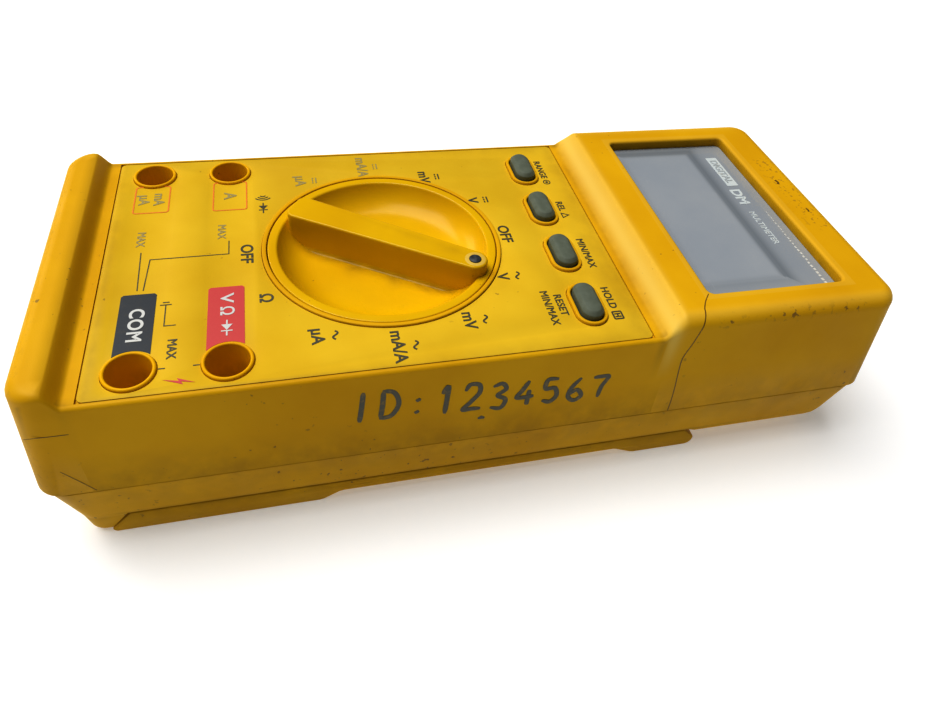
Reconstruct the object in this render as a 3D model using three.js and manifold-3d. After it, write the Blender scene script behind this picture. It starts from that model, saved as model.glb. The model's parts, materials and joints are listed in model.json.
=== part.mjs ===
// Rugged bench multimeter, lying on its back with its tilt bail folded.
// Millimetres. +X is the right side of the panel, +Y the display end, +Z up
// out of the panel. The origin is the middle of the footprint, on the bench.
import * as THREE from 'three';
import { mergeVertices } from 'three/addons/utils/BufferGeometryUtils.js';
import Module from 'manifold-3d';

const wasm = await Module();
wasm.setup();

// ---------------------------------------------------------------- sizes
// Case, measured at the parting line between its front and back halves
const caseWidth = 91.2;
const caseCornerRadius = 6;
const caseWall = 2.8;
const caseDraft = 0.12;        // each front wall leans in by this much per mm of height
const edgeFillet = 3.4;        // round-over of the bezel and the end ridge
const seamGap = 0.3;           // between the two halves
const seamLip = 0.6;           // the front half overhangs the back half

// Heights
const backZ = 5.4;             // underside of the back half
const backDepth = 14.6;        // underside to parting line
const frontDepth = 25;         // parting line to panel
const bezelRise = 5;           // bezel stands above the panel
const ridgeRise = 3.9;         // end ridge stands above the panel
const plateThickness = 3;      // moulded plate under the panel
const backFloor = 4.6;         // thickness of the back half's floor
const footZ = 0.5;             // underside of the foot at the jack end

// Stations along the meter, from the jack end to the display end
const ridgeTop = 9.9;          // end of the meter to the crest of the ridge
const ridgeRun = 3.1;          // crest to foot of the ridge
const endToJacks = 24.3;
const jackPitch = 19.05;       // standard spacing of shrouded test jacks
const jacksToDial = 37.15;
const dialToKeys = 44.6;
const keysToSlope = 14.7;
const slopeRun = 4.5;
const slopeToWindow = 9.4;
const windowLength = 37.9;
const windowToEnd = 15.8;

// Panel and window
const grooveInset = 1.1;       // edge of the case to the panel's groove
const grooveMargin = 2.2;      // groove to the ridge and to the slope
const overlayThickness = 0.4;
const overlayPocket = 0.5;
const fitGap = 0.3;            // clearance round any piece that sits in a hole
const bezelSide = 8.2;         // side of the bezel to the window
const windowCorner = 1.6;
const bezelPlate = 2.5;        // bezel thickness over the lens

// Jacks
const jackWallGap = 0.16;      // jack sleeve to the wall beside it, under the panel
const jackRingRadius = 5.3;
const jackHoleRadius = 4.15;
const jackProud = 0.9;
const wellDepth = 13;
const sleeveDepth = 20;
const contactRadius = 3.1;
const contactBore = 2.05;

// Selector
const dialRadius = 28.4;
const dialRingWidth = 1.0;
const dialRingRise = 0.5;
const dialAngle = 57.2;        // degrees from +X towards +Y, pointing at AC volts
const rimWidth = 2.5;
const dishDepth = 5.7;
const dishWallRun = 3.8;
const dishFloor = 2.0;
const wellFloor = 2.4;
const barTopRise = 3.7;
const barTailWidth = 8.9;
const barTipWidth = 6.4;
const barTailInset = 3.0;      // knob's edge to the bar's blunt end
const barTipInset = 1.6;       // knob's edge to the bar's tip
const pointerRadius = 1.35;
const pointerInset = 4.2;      // knob's edge to the pointer's centre
const shaftRadius = 5.0;
const rotorRadius = 13;
const rotorThickness = 2.2;
const positions = 12;

// Keys
const keyCount = 4;
const keyMargin = 12.85;       // groove to the outer keys' centres
const keyLength = 11.9;
const keyWidth = 5.5;
const keyProud = 2.7;
const keyTravel = 1.2;
const keyRing = 1.1;           // raised moulded ring round each key
const keyRingRise = 0.7;
const keyFlange = 1.1;         // flange that keeps the key behind the plate
const flangeThickness = 1.5;
const keyTopStep = 0.4;        // the key's face is shorter than its sides by this at each end
const keyTopHeight = 0.7;
const keypadMargin = 7;        // outer keys' centres and the row's line to the mat's edge
const keypadTop = 2.2;         // board to the top of the mat's sheet
const keypadDomeRadius = 2.6;

// Inside
const boardThickness = 1.6;
const boardLift = 8.4;         // parting line to the underside of the main board
const postRadius = 3.9;
const screwRadius = 1.5;
const screwHeadRadius = 2.8;
const screwHeadHeight = 2.0;
const batterySize = [48.5, 26.5, 17.5];
const fuseRadius = 5.15;
const fuseLength = 38;
const fusePitch = 16;
const beeperRadius = 8.5;
const connectorDepth = 2.7;
const boardPostRadius = 3;
const boardPostInset = 5.5;    // groove to a board screw's axis

// Tilt bail
const armWidth = 6.5;
const armHeight = 7.2;
const armRelief = 2.9;         // the middle of each arm is this much thinner
const bailTipInset = 9.7;      // jack end to the bail's free end
const bailPivotFromEnd = 49.8; // display end to the pivot
const bailBeyondPivot = 4;     // the arm's end, and its corner, stand this far from the pivot
const crossbarDepth = 9.5;
const pinRadius = 1.5;
const lugThickness = 3.2;
const bailGap = 0.4;

// Clearances of the inner pieces, and how far cutting tools reach past a surface
const lensMargin = 3.2;        // lens beyond the window
const bezelPocketMargin = 5;   // pocket behind the bezel, beyond the window
const gasketWidth = 0.9;
const gasketGap = 0.2;
const gasketInset = 0.8;       // edge of the back half to the gasket's groove
const gasketDepth = 1.4;
const counterSlack = 0.1;
const overshoot = 5;

// ---------------------------------------------------------------- worked out
const caseLength = endToJacks + jackPitch + jacksToDial + dialToKeys + keysToSlope + slopeRun
  + slopeToWindow + windowLength + windowToEnd;
const halfLength = caseLength / 2;
const halfWidth = caseWidth / 2;
const partingZ = backZ + backDepth;
const panelZ = partingZ + frontDepth;
const bezelZ = panelZ + bezelRise;
const ceilingZ = panelZ - plateThickness;
const panelHalf = halfWidth - caseDraft * frontDepth;
const jackX = panelHalf + caseDraft * plateThickness - caseWall - jackWallGap - jackRingRadius;
const jackRows = [endToJacks - halfLength, endToJacks + jackPitch - halfLength];
const dialY = jackRows[1] + jacksToDial;
const keyY = dialY + dialToKeys;
const slopeFootY = keyY + keysToSlope;
const slopeTopY = slopeFootY + slopeRun;
const windowStart = slopeTopY + slopeToWindow;
const windowEnd = windowStart + windowLength;
const windowHalf = panelHalf - caseDraft * bezelRise - bezelSide;
const ridgeCrestY = ridgeTop - halfLength;
const ridgeFootY = ridgeCrestY + ridgeRun;
const grooveHalf = panelHalf - grooveInset;
const grooveStart = ridgeFootY + grooveMargin;
const grooveEnd = slopeFootY - grooveMargin;
const keyRingSpan = 2 * (fitGap + keyRing);
const keyPitch = 2 * (grooveHalf - keyMargin) / (keyCount - 1);
const keyFlangeEnd = Math.min(keyFlange, (keyPitch - keyLength - fitGap) / 2);
const boardZ = partingZ + boardLift;
const boardTop = boardZ + boardThickness;
const cavityFloorZ = backZ + backFloor;
const caseSeatZ = cavityFloorZ - 0.4;  // where the case screws' heads seat
const knobFloorZ = panelZ - dishDepth;
const knobBaseZ = knobFloorZ - dishFloor;
const dialWellZ = knobBaseZ - 2 * fitGap;
const dialBossZ = dialWellZ - wellFloor;
const barTopZ = panelZ + barTopRise;
const dialRingInner = dialRadius + 0.5;
const lensTopZ = bezelZ - bezelPlate - fitGap;
const lensThickness = 1.9;
const pivotY = halfLength - bailPivotFromEnd;
const pivotZ = armHeight - bailBeyondPivot;
const armOuter = halfWidth - seamLip - 1.1;
const armInner = armOuter - armWidth;

// ---------------------------------------------------------------- materials
const surface = (color, roughness, metalness) => (
  new THREE.MeshStandardMaterial({ color, roughness, metalness })
);
const plastic = (color, roughness) => surface(color, roughness, 0);
const metal = (color, roughness) => surface(color, roughness, 1);
const paint = {
  caseYellow: plastic(0xd9ac14, 0.48),
  panelYellow: plastic(0xddb225, 0.42),
  knobYellow: plastic(0xe0ae0c, 0.38),
  keyGrey: plastic(0x666c5c, 0.6),
  lens: plastic(0x8e989c, 0.12),
  lcd: plastic(0x8a9487, 0.25),
  black: plastic(0x1b1c1c, 0.55),
  rubber: plastic(0x2a2a28, 0.85),
  ivory: plastic(0xd8d4c4, 0.6),
  board: plastic(0x2f5a35, 0.45),
  brass: metal(0xc7a14f, 0.3),
  steel: metal(0x9a9c9e, 0.3),
  sheet: metal(0xb9bcbe, 0.45),
  battery: plastic(0x3b3f45, 0.4),
  fuse: plastic(0xe6e0d0, 0.35),
};

// ---------------------------------------------------------------- shape tools
const meter = new THREE.Group();

// Turns a closed three.js geometry into a solid that can be joined and cut.
function solid(geometry) {
  const bare = geometry.index ? geometry.toNonIndexed() : geometry.clone();
  bare.deleteAttribute('normal');
  bare.deleteAttribute('uv');
  const merged = mergeVertices(bare, 1e-4);
  return new wasm.Manifold(new wasm.Mesh({
    numProp: 3,
    vertProperties: new Float32Array(merged.attributes.position.array),
    triVerts: new Uint32Array(merged.index.array),
  }));
}

// Turns a joined or cut solid back into a three.js geometry.
function geometryOf(shape) {
  const mesh = shape.getMesh();
  const geometry = new THREE.BufferGeometry();
  geometry.setAttribute('position', new THREE.BufferAttribute(new Float32Array(mesh.vertProperties), 3));
  geometry.setIndex(new THREE.BufferAttribute(new Uint32Array(mesh.triVerts), 1));
  return geometry;
}

// Adds one named piece of the meter.
function piece(name, shape, material) {
  const geometry = shape.isBufferGeometry ? shape : geometryOf(shape);
  const mesh = new THREE.Mesh(geometry, material);
  mesh.name = name;
  meter.add(mesh);
  return mesh;
}

const join = (first, ...rest) => rest.reduce((sum, next) => sum.add(next), first);
const cut = (body, ...tools) => tools.reduce((left, tool) => left.subtract(tool), body);
const sides = [-1, 1];

// A block between two corners.
function block(x0, x1, y0, y1, z0, z1) {
  const geometry = new THREE.BoxGeometry(x1 - x0, y1 - y0, z1 - z0);
  return solid(geometry.translate((x0 + x1) / 2, (y0 + y1) / 2, (z0 + z1) / 2));
}

// An upright round rod.
function rod(radius, x, y, z0, z1, segments = 12) {
  const geometry = new THREE.CylinderGeometry(radius, radius, z1 - z0, segments);
  return solid(geometry.rotateX(Math.PI / 2).translate(x, y, (z0 + z1) / 2));
}

// A round rod along X.
function axle(radius, x0, x1, y, z, segments = 12) {
  const geometry = new THREE.CylinderGeometry(radius, radius, x1 - x0, segments);
  return solid(geometry.rotateZ(Math.PI / 2).translate((x0 + x1) / 2, y, z));
}

// A flat plate with rounded corners, centred on x = 0.
function roundedPlate(half, y0, y1, z0, z1, radius) {
  const shape = new THREE.Shape();
  shape.moveTo(-half + radius, y0);
  shape.absarc(half - radius, y0 + radius, radius, -Math.PI / 2, 0, false);
  shape.absarc(half - radius, y1 - radius, radius, 0, Math.PI / 2, false);
  shape.absarc(-half + radius, y1 - radius, radius, Math.PI / 2, Math.PI, false);
  shape.absarc(-half + radius, y0 + radius, radius, Math.PI, Math.PI * 1.5, false);
  return extrude(shape, z0, z1, 4);
}

// A stadium-shaped plate, long in X, as the keys and their holes are.
function pill(length, width, x, y, z0, z1, curveSegments = 4) {
  const radius = width / 2;
  const straight = length / 2 - radius;
  const shape = new THREE.Shape();
  shape.absarc(x + straight, y, radius, -Math.PI / 2, Math.PI / 2, false);
  shape.absarc(x - straight, y, radius, Math.PI / 2, Math.PI * 1.5, false);
  return extrude(shape, z0, z1, curveSegments);
}

// Extrudes an outline drawn in X and Y between two heights.
function extrude(shape, z0, z1, curveSegments = 8) {
  const geometry = new THREE.ExtrudeGeometry(shape, { depth: z1 - z0, bevelEnabled: false, curveSegments });
  return solid(geometry.translate(0, 0, z0));
}

// Extrudes an outline drawn in Y and Z between two places along X.
function extrudeAcross(shape, x0, x1, curveSegments = 6) {
  const geometry = new THREE.ExtrudeGeometry(shape, { depth: x1 - x0, bevelEnabled: false, curveSegments });
  const yzPlane = new THREE.Matrix4().makeBasis(
    new THREE.Vector3(0, 1, 0),
    new THREE.Vector3(0, 0, 1),
    new THREE.Vector3(1, 0, 0),
  );
  return solid(geometry.applyMatrix4(yzPlane).translate(x0, 0, 0));
}

// Turns a profile of [radius, height] points about an upright axis.
function turn(profile, x, y, segments = 20) {
  const points = profile.map(([r, z]) => new THREE.Vector2(r, z));
  const geometry = new THREE.LatheGeometry(points, segments);
  return solid(geometry.rotateX(Math.PI / 2).translate(x, y, 0));
}

// A ring between two radii and two heights, with its top edges rounded.
function ring(inner, outer, x, y, z0, z1, segments = 20) {
  const round = (outer - inner) / 4;
  return turn([
    [inner, z0], [outer, z0], [outer, z1 - round], [outer - round, z1],
    [inner + round, z1], [inner, z1 - round], [inner, z0],
  ], x, y, segments);
}

// Joins rounded rectangles stacked in Z into one closed skin. Each level is
// { z, half, y0, y1, radius }.
function loft(levels) {
  const cornerSteps = 3;
  const rings = levels.map(({ z, half, y0, y1, radius }) => {
    const corners = [[half, y0, -90], [half, y1, 0], [-half, y1, 90], [-half, y0, 180]];
    return corners.flatMap(([cx, cy, start]) => {
      const centreX = cx - Math.sign(cx) * radius;
      const centreY = cy === y0 ? y0 + radius : y1 - radius;
      return Array.from({ length: cornerSteps + 1 }, (_, step) => {
        const angle = THREE.MathUtils.degToRad(start + 90 * step / cornerSteps);
        return [centreX + radius * Math.cos(angle), centreY + radius * Math.sin(angle), z];
      });
    });
  });
  const count = rings[0].length;
  const positionsList = rings.flat(2);
  const index = [];
  for (let level = 0; level + 1 < rings.length; level += 1) {
    for (let i = 0; i < count; i += 1) {
      const a = level * count + i;
      const b = level * count + (i + 1) % count;
      index.push(a, b, b + count, a, b + count, a + count);
    }
  }
  const top = (rings.length - 1) * count;
  for (let i = 1; i + 1 < count; i += 1) {
    index.push(0, i + 1, i, top, top + i, top + i + 1);
  }
  const geometry = new THREE.BufferGeometry();
  geometry.setAttribute('position', new THREE.Float32BufferAttribute(positionsList, 3));
  geometry.setIndex(index);
  return solid(geometry);
}

// ---------------------------------------------------------------- places used twice
const boardPostX = grooveHalf - boardPostInset;
const jacks = sides.flatMap((side) => jackRows.map((y, row) => ({
  name: side > 0 ? ['com', 'volt'][row] : ['milliamp', 'amp'][row],
  x: side * jackX,
  y,
})));
const keys = ['range', 'relative', 'minmax', 'hold'].map((name, i) => ({
  name,
  x: (i - (keyCount - 1) / 2) * keyPitch,
}));
const casePosts = [
  { x: jackX - 12.5, y: jackRows[0] + 8.7 },
  { x: batterySize[0] / 2 + 2 * fitGap + connectorDepth + postRadius, y: dialY + 19.5 },
  { x: grooveHalf - 8, y: halfLength - 7.9 },
].flatMap(({ x, y }) => sides.map((side) => ({ x: side * x, y })));
const boardPosts = [jackRows[1] + 17, slopeFootY].flatMap((y) => sides.map((side) => ({
  x: side * boardPostX,
  y,
})));

// Outline of the front half at a height, pushed in by a wall thickness.
const frontLevel = (z, inset) => {
  const push = caseDraft * (z - partingZ) + inset;
  return {
    z,
    half: halfWidth - push,
    y0: -halfLength + push,
    y1: halfLength - push,
    radius: Math.max(caseCornerRadius - inset, 1.5),
  };
};

// ---------------------------------------------------------------- front half
// The trough from the end ridge to the bezel, down to the panel. It starts beyond the end of the
// case, so that it also takes the ridge down to its height.
function panelTrough() {
  const above = bezelZ + 10;
  const ridgeZ = panelZ + ridgeRise;
  const shape = new THREE.Shape();
  shape.moveTo(-halfLength - 1, above);
  shape.lineTo(-halfLength - 1, ridgeZ);
  shape.lineTo(ridgeCrestY, ridgeZ);
  shape.bezierCurveTo(ridgeCrestY + ridgeRun * 0.6, ridgeZ - 0.2, ridgeCrestY + ridgeRun * 0.35, panelZ,
    ridgeFootY, panelZ);
  shape.lineTo(slopeFootY - 0.8, panelZ);
  shape.quadraticCurveTo(slopeFootY, panelZ, slopeFootY + 0.6, panelZ + 0.5);
  shape.lineTo(slopeTopY - 1.4, bezelZ - 1.1);
  shape.quadraticCurveTo(slopeTopY, bezelZ, slopeTopY + 1.6, bezelZ + 0.05);
  shape.lineTo(slopeTopY + 1.6, above);
  return extrudeAcross(shape, -halfWidth, halfWidth, 6);
}

function frontCase() {
  const shoulderZ = bezelZ - edgeFillet;
  const filletSteps = 3;
  const levels = [frontLevel(partingZ + seamGap / 2, 0), frontLevel(shoulderZ, 0)];
  for (let step = 1; step <= filletSteps; step += 1) {
    const angle = step / filletSteps * Math.PI / 2;
    const level = frontLevel(shoulderZ, edgeFillet * (1 - Math.cos(angle)));
    levels.push({ ...level, z: shoulderZ + edgeFillet * Math.sin(angle) });
  }
  const shell = cut(loft(levels), panelTrough());
  const hollow = loft([frontLevel(partingZ - 1, caseWall), frontLevel(ceilingZ, caseWall)]);
  const dialBoss = rod(dialRadius + dialRingWidth + caseWall, 0, dialY, dialBossZ, panelZ - 1, 24);
  const posts = casePosts.map(({ x, y }) => rod(postRadius, x, y, partingZ + seamGap, ceilingZ + 0.5));
  const stubs = boardPosts.map(({ x, y }) => rod(boardPostRadius, x, y, boardTop + fitGap, ceilingZ + 0.5));
  const dialRing = ring(dialRingInner, dialRingInner + dialRingWidth, 0, dialY,
    panelZ - 1.2, panelZ + dialRingRise, 32);
  const keyRings = keys.map(({ x }) => pill(keyLength + keyRingSpan, keyWidth + keyRingSpan, x, keyY,
    panelZ - 1, panelZ + keyRingRise));
  const inner = join(cut(shell, hollow), dialBoss, ...posts, ...stubs);
  const pocket = roundedPlate(grooveHalf, grooveStart, grooveEnd, panelZ - overlayPocket, panelZ + 1, 1.5);
  const dressed = join(cut(inner, pocket), dialRing, ...keyRings);
  const displayPocket = roundedPlate(windowHalf + bezelPocketMargin - 0.4, windowStart - bezelPocketMargin,
    windowEnd + bezelPocketMargin, ceilingZ - 1, bezelZ - bezelPlate, 1);
  const windowHole = roundedPlate(windowHalf, windowStart, windowEnd, ceilingZ, bezelZ + 1, windowCorner);
  const jackHoles = jacks.map(({ x, y }) => rod(jackRingRadius + fitGap, x, y, ceilingZ - 1, panelZ + 2, 16));
  const keyHoles = keys.map(({ x }) => pill(keyLength + 2 * fitGap, keyWidth + 2 * fitGap, x, keyY,
    ceilingZ - 1, panelZ + 2));
  const screwHoles = casePosts.map(({ x, y }) => rod(screwRadius + fitGap, x, y,
    partingZ - 1, partingZ + 12, 10));
  const stubHoles = boardPosts.map(({ x, y }) => rod(screwRadius, x, y, boardTop, boardTop + 7, 10));
  const dialWell = rod(dialRadius + 0.4, 0, dialY, dialWellZ, panelZ + 2, 32);
  const shaftHole = rod(shaftRadius + fitGap, 0, dialY, dialBossZ - 1, dialWellZ + 1, 20);
  const sealSeat = rod(shaftRadius + 2.2, 0, dialY, dialWellZ - 1.3, dialWellZ + 1, 20);
  return cut(dressed, displayPocket, windowHole, ...jackHoles, ...keyHoles, ...screwHoles, ...stubHoles,
    dialWell, shaftHole, sealSeat);
}

// ---------------------------------------------------------------- tilt bail
// Side outline of a bail arm, grown by a clearance for the recess it folds into.
// The recess ends in an arc about the pivot, so that the arm's end can swing up in it.
function armOutline(grow, middleRelief) {
  const tip = bailTipInset - halfLength - grow;
  const reach = bailBeyondPivot + grow;
  const end = pivotY + reach;
  const top = armHeight + grow;
  const bottom = -grow;
  const shape = new THREE.Shape();
  shape.moveTo(tip, bottom + 0.9);
  shape.lineTo(tip + 0.8, bottom);
  if (middleRelief > 0) {
    shape.lineTo(tip + 48, bottom);
    shape.lineTo(tip + 54, middleRelief);
    shape.lineTo(pivotY - 20.4, middleRelief);
    shape.lineTo(pivotY - 14, bottom);
  }
  shape.lineTo(end - 2.2, bottom);
  shape.quadraticCurveTo(end, bottom, end, bottom + 2.2);
  shape.lineTo(end, pivotZ);
  if (grow > 0) {
    shape.absarc(pivotY, pivotZ, reach, 0, Math.PI / 2, false);
  } else {
    shape.lineTo(pivotY, top);
  }
  shape.lineTo(tip + 5.6, top);
  return shape;
}

// Side outline of the bar that joins the two arms at the free end.
function crossbarOutline(grow) {
  const tip = bailTipInset - halfLength - grow;
  const shape = new THREE.Shape();
  shape.moveTo(tip, 0.9 - grow);
  shape.lineTo(tip + 0.8, -grow);
  shape.lineTo(tip + crossbarDepth + 2 * grow, -grow);
  shape.lineTo(tip + crossbarDepth + 2 * grow, armHeight + grow);
  shape.lineTo(tip + 5.6, armHeight + grow);
  return shape;
}

function tiltBail() {
  const arms = sides.map((side) => {
    const edges = side > 0 ? [armInner, armOuter] : [-armOuter, -armInner];
    const arm = extrudeAcross(armOutline(0, armRelief), ...edges);
    const bore = side > 0 ? [armInner - 1, armOuter - 0.7] : [-armOuter + 0.7, -armInner + 1];
    return cut(arm, axle(pinRadius + fitGap, ...bore, pivotY, pivotZ));
  });
  const crossbar = extrudeAcross(crossbarOutline(0), -armInner - 1, armInner + 1);
  return join(arms[0], arms[1], crossbar);
}

// ---------------------------------------------------------------- back half
const backHalf = halfWidth - seamLip;
const backEnd = halfLength - seamLip;

function backCase() {
  const body = loft([
    { z: backZ, half: backHalf - 2.4, y0: -backEnd + 4, y1: backEnd - 7.5, radius: 4 },
    { z: backZ + 0.5, half: backHalf - 1.6, y0: -backEnd + 3.6, y1: backEnd - 5.8, radius: 4.5 },
    { z: backZ + 1.6, half: backHalf - 1.1, y0: -backEnd + 3.2, y1: backEnd - 4.4, radius: 5 },
    { z: backZ + 3.4, half: backHalf - 0.9, y0: -backEnd + 2.9, y1: backEnd - 3.4, radius: 5 },
    { z: partingZ - seamGap / 2, half: backHalf, y0: -backEnd, y1: backEnd, radius: caseCornerRadius },
  ]);
  const foot = loft([
    { z: footZ, half: backHalf - 2.6, y0: -backEnd + 5.6, y1: -backEnd + 22, radius: 3 },
    { z: footZ + 1.4, half: backHalf - 1.5, y0: -backEnd + 4.1, y1: -backEnd + 22, radius: 4 },
    { z: backZ + 2, half: backHalf - 1.1, y0: -backEnd + 3.2, y1: -backEnd + 22, radius: 5 },
  ]);
  const footEnd = bailTipInset - halfLength + crossbarDepth + 2 * bailGap;
  const trimmedFoot = cut(foot, block(-halfWidth, halfWidth, footEnd, footEnd + 30, -1, backZ));
  const lugs = sides.map((side) => {
    const near = side * (armInner - bailGap - lugThickness);
    const far = side * (armInner - bailGap);
    return block(Math.min(near, far), Math.max(near, far), pivotY - 4, pivotY + 4, pivotZ - 2.8, backZ + 1);
  });
  const hollow = loft([
    {
      z: cavityFloorZ, half: backHalf - caseWall - 1,
      y0: -backEnd + caseWall + 3, y1: backEnd - caseWall - 3.4, radius: 3,
    },
    {
      z: partingZ + 1, half: backHalf - caseWall,
      y0: -backEnd + caseWall, y1: backEnd - caseWall, radius: 3,
    },
  ]);
  const recesses = sides.map((side) => {
    const inner = side * (armInner - bailGap);
    const outer = side * (halfWidth + overshoot);
    return extrudeAcross(armOutline(bailGap, 0), Math.min(inner, outer), Math.max(inner, outer));
  });
  const crossbarRecess = extrudeAcross(crossbarOutline(bailGap), -armInner, armInner);
  const pinHoles = sides.map((side) => {
    const near = side * (armInner - bailGap - lugThickness - 1);
    const far = side * armInner;
    return axle(pinRadius + fitGap / 2, Math.min(near, far), Math.max(near, far), pivotY, pivotZ);
  });
  const posts = casePosts.map(({ x, y }) => rod(postRadius, x, y, cavityFloorZ - 1, partingZ - seamGap));
  const through = casePosts.map(({ x, y }) => rod(screwRadius + fitGap, x, y, footZ - 1, partingZ + 1, 10));
  const counterbores = casePosts.map(({ x, y }) => rod(screwHeadRadius + fitGap, x, y, footZ - 1,
    caseSeatZ + counterSlack, 12));
  const groove = cut(
    loft(gasketLevels(partingZ - gasketDepth, partingZ + 1, 0)),
    loft(gasketLevels(partingZ - gasketDepth - 1, partingZ + 2, gasketWidth + 2 * gasketGap)),
  );
  const shell = join(cut(join(body, trimmedFoot), ...recesses, crossbarRecess), ...lugs);
  return cut(join(cut(shell, hollow), ...posts), ...through, ...counterbores, ...pinHoles, groove);
}

// ---------------------------------------------------------------- gasket
function gasketLevels(z0, z1, inset) {
  const out = gasketInset + inset;
  return [z0, z1].map((z) => ({
    z, half: backHalf - out, y0: -backEnd + out, y1: backEnd - out, radius: caseCornerRadius - out,
  }));
}

function caseGasket() {
  const z0 = partingZ - gasketDepth + gasketGap;
  const z1 = partingZ;
  return cut(
    loft(gasketLevels(z0, z1, gasketGap)),
    loft(gasketLevels(z0 - 1, z1 + 1, gasketGap + gasketWidth)),
  );
}

// ---------------------------------------------------------------- selector
function selectorKnob() {
  const rimTop = panelZ + 0.4;
  const inner = dialRadius - rimWidth;
  const dish = turn([
    [0, knobBaseZ], [dialRadius - 0.8, knobBaseZ], [dialRadius, knobBaseZ + 0.8],
    [dialRadius, rimTop - 0.7], [dialRadius - 0.7, rimTop], [inner + 0.5, rimTop], [inner, rimTop - 0.4],
    [inner - dishWallRun, knobFloorZ + 0.4], [inner - dishWallRun - 0.8, knobFloorZ], [0, knobFloorZ],
  ], 0, dialY, 32);
  const bar = new THREE.Shape();
  const barTail = dialRadius - barTailInset;
  const barTip = dialRadius - barTipInset;
  const tail = barTailWidth / 2;
  const tip = barTipWidth / 2;
  bar.moveTo(-barTail + 2.2, -tail);
  bar.lineTo(barTip - tip, -tip);
  bar.absarc(barTip - tip, 0, tip, -Math.PI / 2, Math.PI / 2, false);
  bar.lineTo(-barTail + 2.2, tail);
  bar.quadraticCurveTo(-barTail, tail, -barTail, tail - 2.2);
  bar.lineTo(-barTail, -tail + 2.2);
  bar.quadraticCurveTo(-barTail, -tail, -barTail + 2.2, -tail);
  const bevel = 0.7;
  const grip = new THREE.ExtrudeGeometry(bar, {
    depth: barTopZ - knobFloorZ, bevelThickness: bevel, bevelSize: bevel, bevelOffset: -bevel,
    bevelSegments: 2, curveSegments: 6,
  });
  grip.translate(0, 0, knobFloorZ - bevel);
  grip.rotateZ(THREE.MathUtils.degToRad(dialAngle));
  grip.translate(0, dialY, 0);
  const shaft = rod(shaftRadius, 0, dialY, boardTop + 1.5, knobBaseZ + 1, 20);
  const dotSeat = rod(pointerRadius + 0.15, pointerX, pointerY, barTopZ - 0.9, barTopZ + 1, 20);
  const screwHole = rod(screwRadius, 0, dialY, boardTop, boardTop + 9, 16);
  return cut(join(dish, solid(grip), shaft), dotSeat, screwHole);
}

const pointerAt = dialRadius - pointerInset;
const pointerX = pointerAt * Math.cos(THREE.MathUtils.degToRad(dialAngle));
const pointerY = dialY + pointerAt * Math.sin(THREE.MathUtils.degToRad(dialAngle));

// The switch rotor, with one notch in its edge for each position.
function contactRotor() {
  const z1 = dialBossZ - fitGap;
  const z0 = z1 - rotorThickness;
  const disc = rod(rotorRadius, 0, dialY, z0, z1, 36);
  const notches = Array.from({ length: positions }, (_, i) => {
    const angle = i / positions * Math.PI * 2;
    return rod(1.6, rotorRadius * Math.cos(angle), dialY + rotorRadius * Math.sin(angle), z0 - 1, z1 + 1, 8);
  });
  return cut(disc, ...notches, rod(shaftRadius + fitGap, 0, dialY, z0 - 1, z1 + 1, 20));
}

// The leaf spring whose rounded nose sits in a notch of the rotor.
function detentSpring() {
  const z0 = dialBossZ - fitGap - rotorThickness + 0.3;
  const z1 = z0 + 1.6;
  const leafX = rotorRadius + 1;
  const leaf = block(leafX, leafX + 0.8, dialY - 9, dialY + 9, z0, z1);
  const nose = rod(1.1, leafX - 0.2, dialY, z0, z1, 16);
  const root = block(leafX, leafX + 4, dialY + 9, dialY + 12, z0, z1);
  return join(leaf, nose, root);
}

// ---------------------------------------------------------------- small parts
function jackSleeve({ x, y }) {
  const top = panelZ + jackProud;
  const bottom = top - sleeveDepth;
  const ledge = top - wellDepth;
  const edge = (jackRingRadius - jackHoleRadius) / 3;
  return turn([
    [contactRadius + fitGap, bottom], [jackRingRadius, bottom], [jackRingRadius, top - edge],
    [jackRingRadius - edge, top], [jackHoleRadius + edge, top], [jackHoleRadius, top - edge],
    [jackHoleRadius, ledge], [contactRadius + fitGap, ledge], [contactRadius + fitGap, bottom],
  ], x, y, 16);
}

function jackContact({ x, y }) {
  const top = panelZ + jackProud - wellDepth + 1;
  const bottom = panelZ + jackProud - sleeveDepth - 2;
  return turn([
    [0, bottom], [contactRadius, bottom], [contactRadius, top], [contactBore, top],
    [contactBore, bottom + 2], [0, bottom + 2],
  ], x, y, 10);
}

// A screw driven upwards, with its head's underside at the given height.
function screw(x, y, seatZ, length) {
  const body = turn([
    [0, seatZ - screwHeadHeight], [screwHeadRadius - 0.5, seatZ - screwHeadHeight],
    [screwHeadRadius, seatZ - screwHeadHeight + 0.6], [screwHeadRadius, seatZ],
    [screwRadius - 0.2, seatZ], [screwRadius - 0.2, seatZ + length], [0, seatZ + length],
  ], x, y, 10);
  const slot = block(x - screwHeadRadius, x + screwHeadRadius, y - 0.4, y + 0.4,
    seatZ - screwHeadHeight - 1, seatZ - screwHeadHeight + 0.9);
  return cut(body, slot);
}

function pushKey(x) {
  const top = panelZ + keyProud;
  const flangeTop = ceilingZ - fitGap;
  const cap = pill(keyLength, keyWidth, x, keyY, flangeTop - 1, top - keyTopHeight);
  const crown = pill(keyLength - 2 * keyTopStep, keyWidth - 2 * keyTopStep, x, keyY, top - 1, top);
  const flange = pill(keyLength + 2 * keyFlangeEnd, keyWidth + 2 * keyFlange, x, keyY,
    flangeTop - flangeThickness, flangeTop);
  return join(cap, crown, flange);
}

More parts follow.
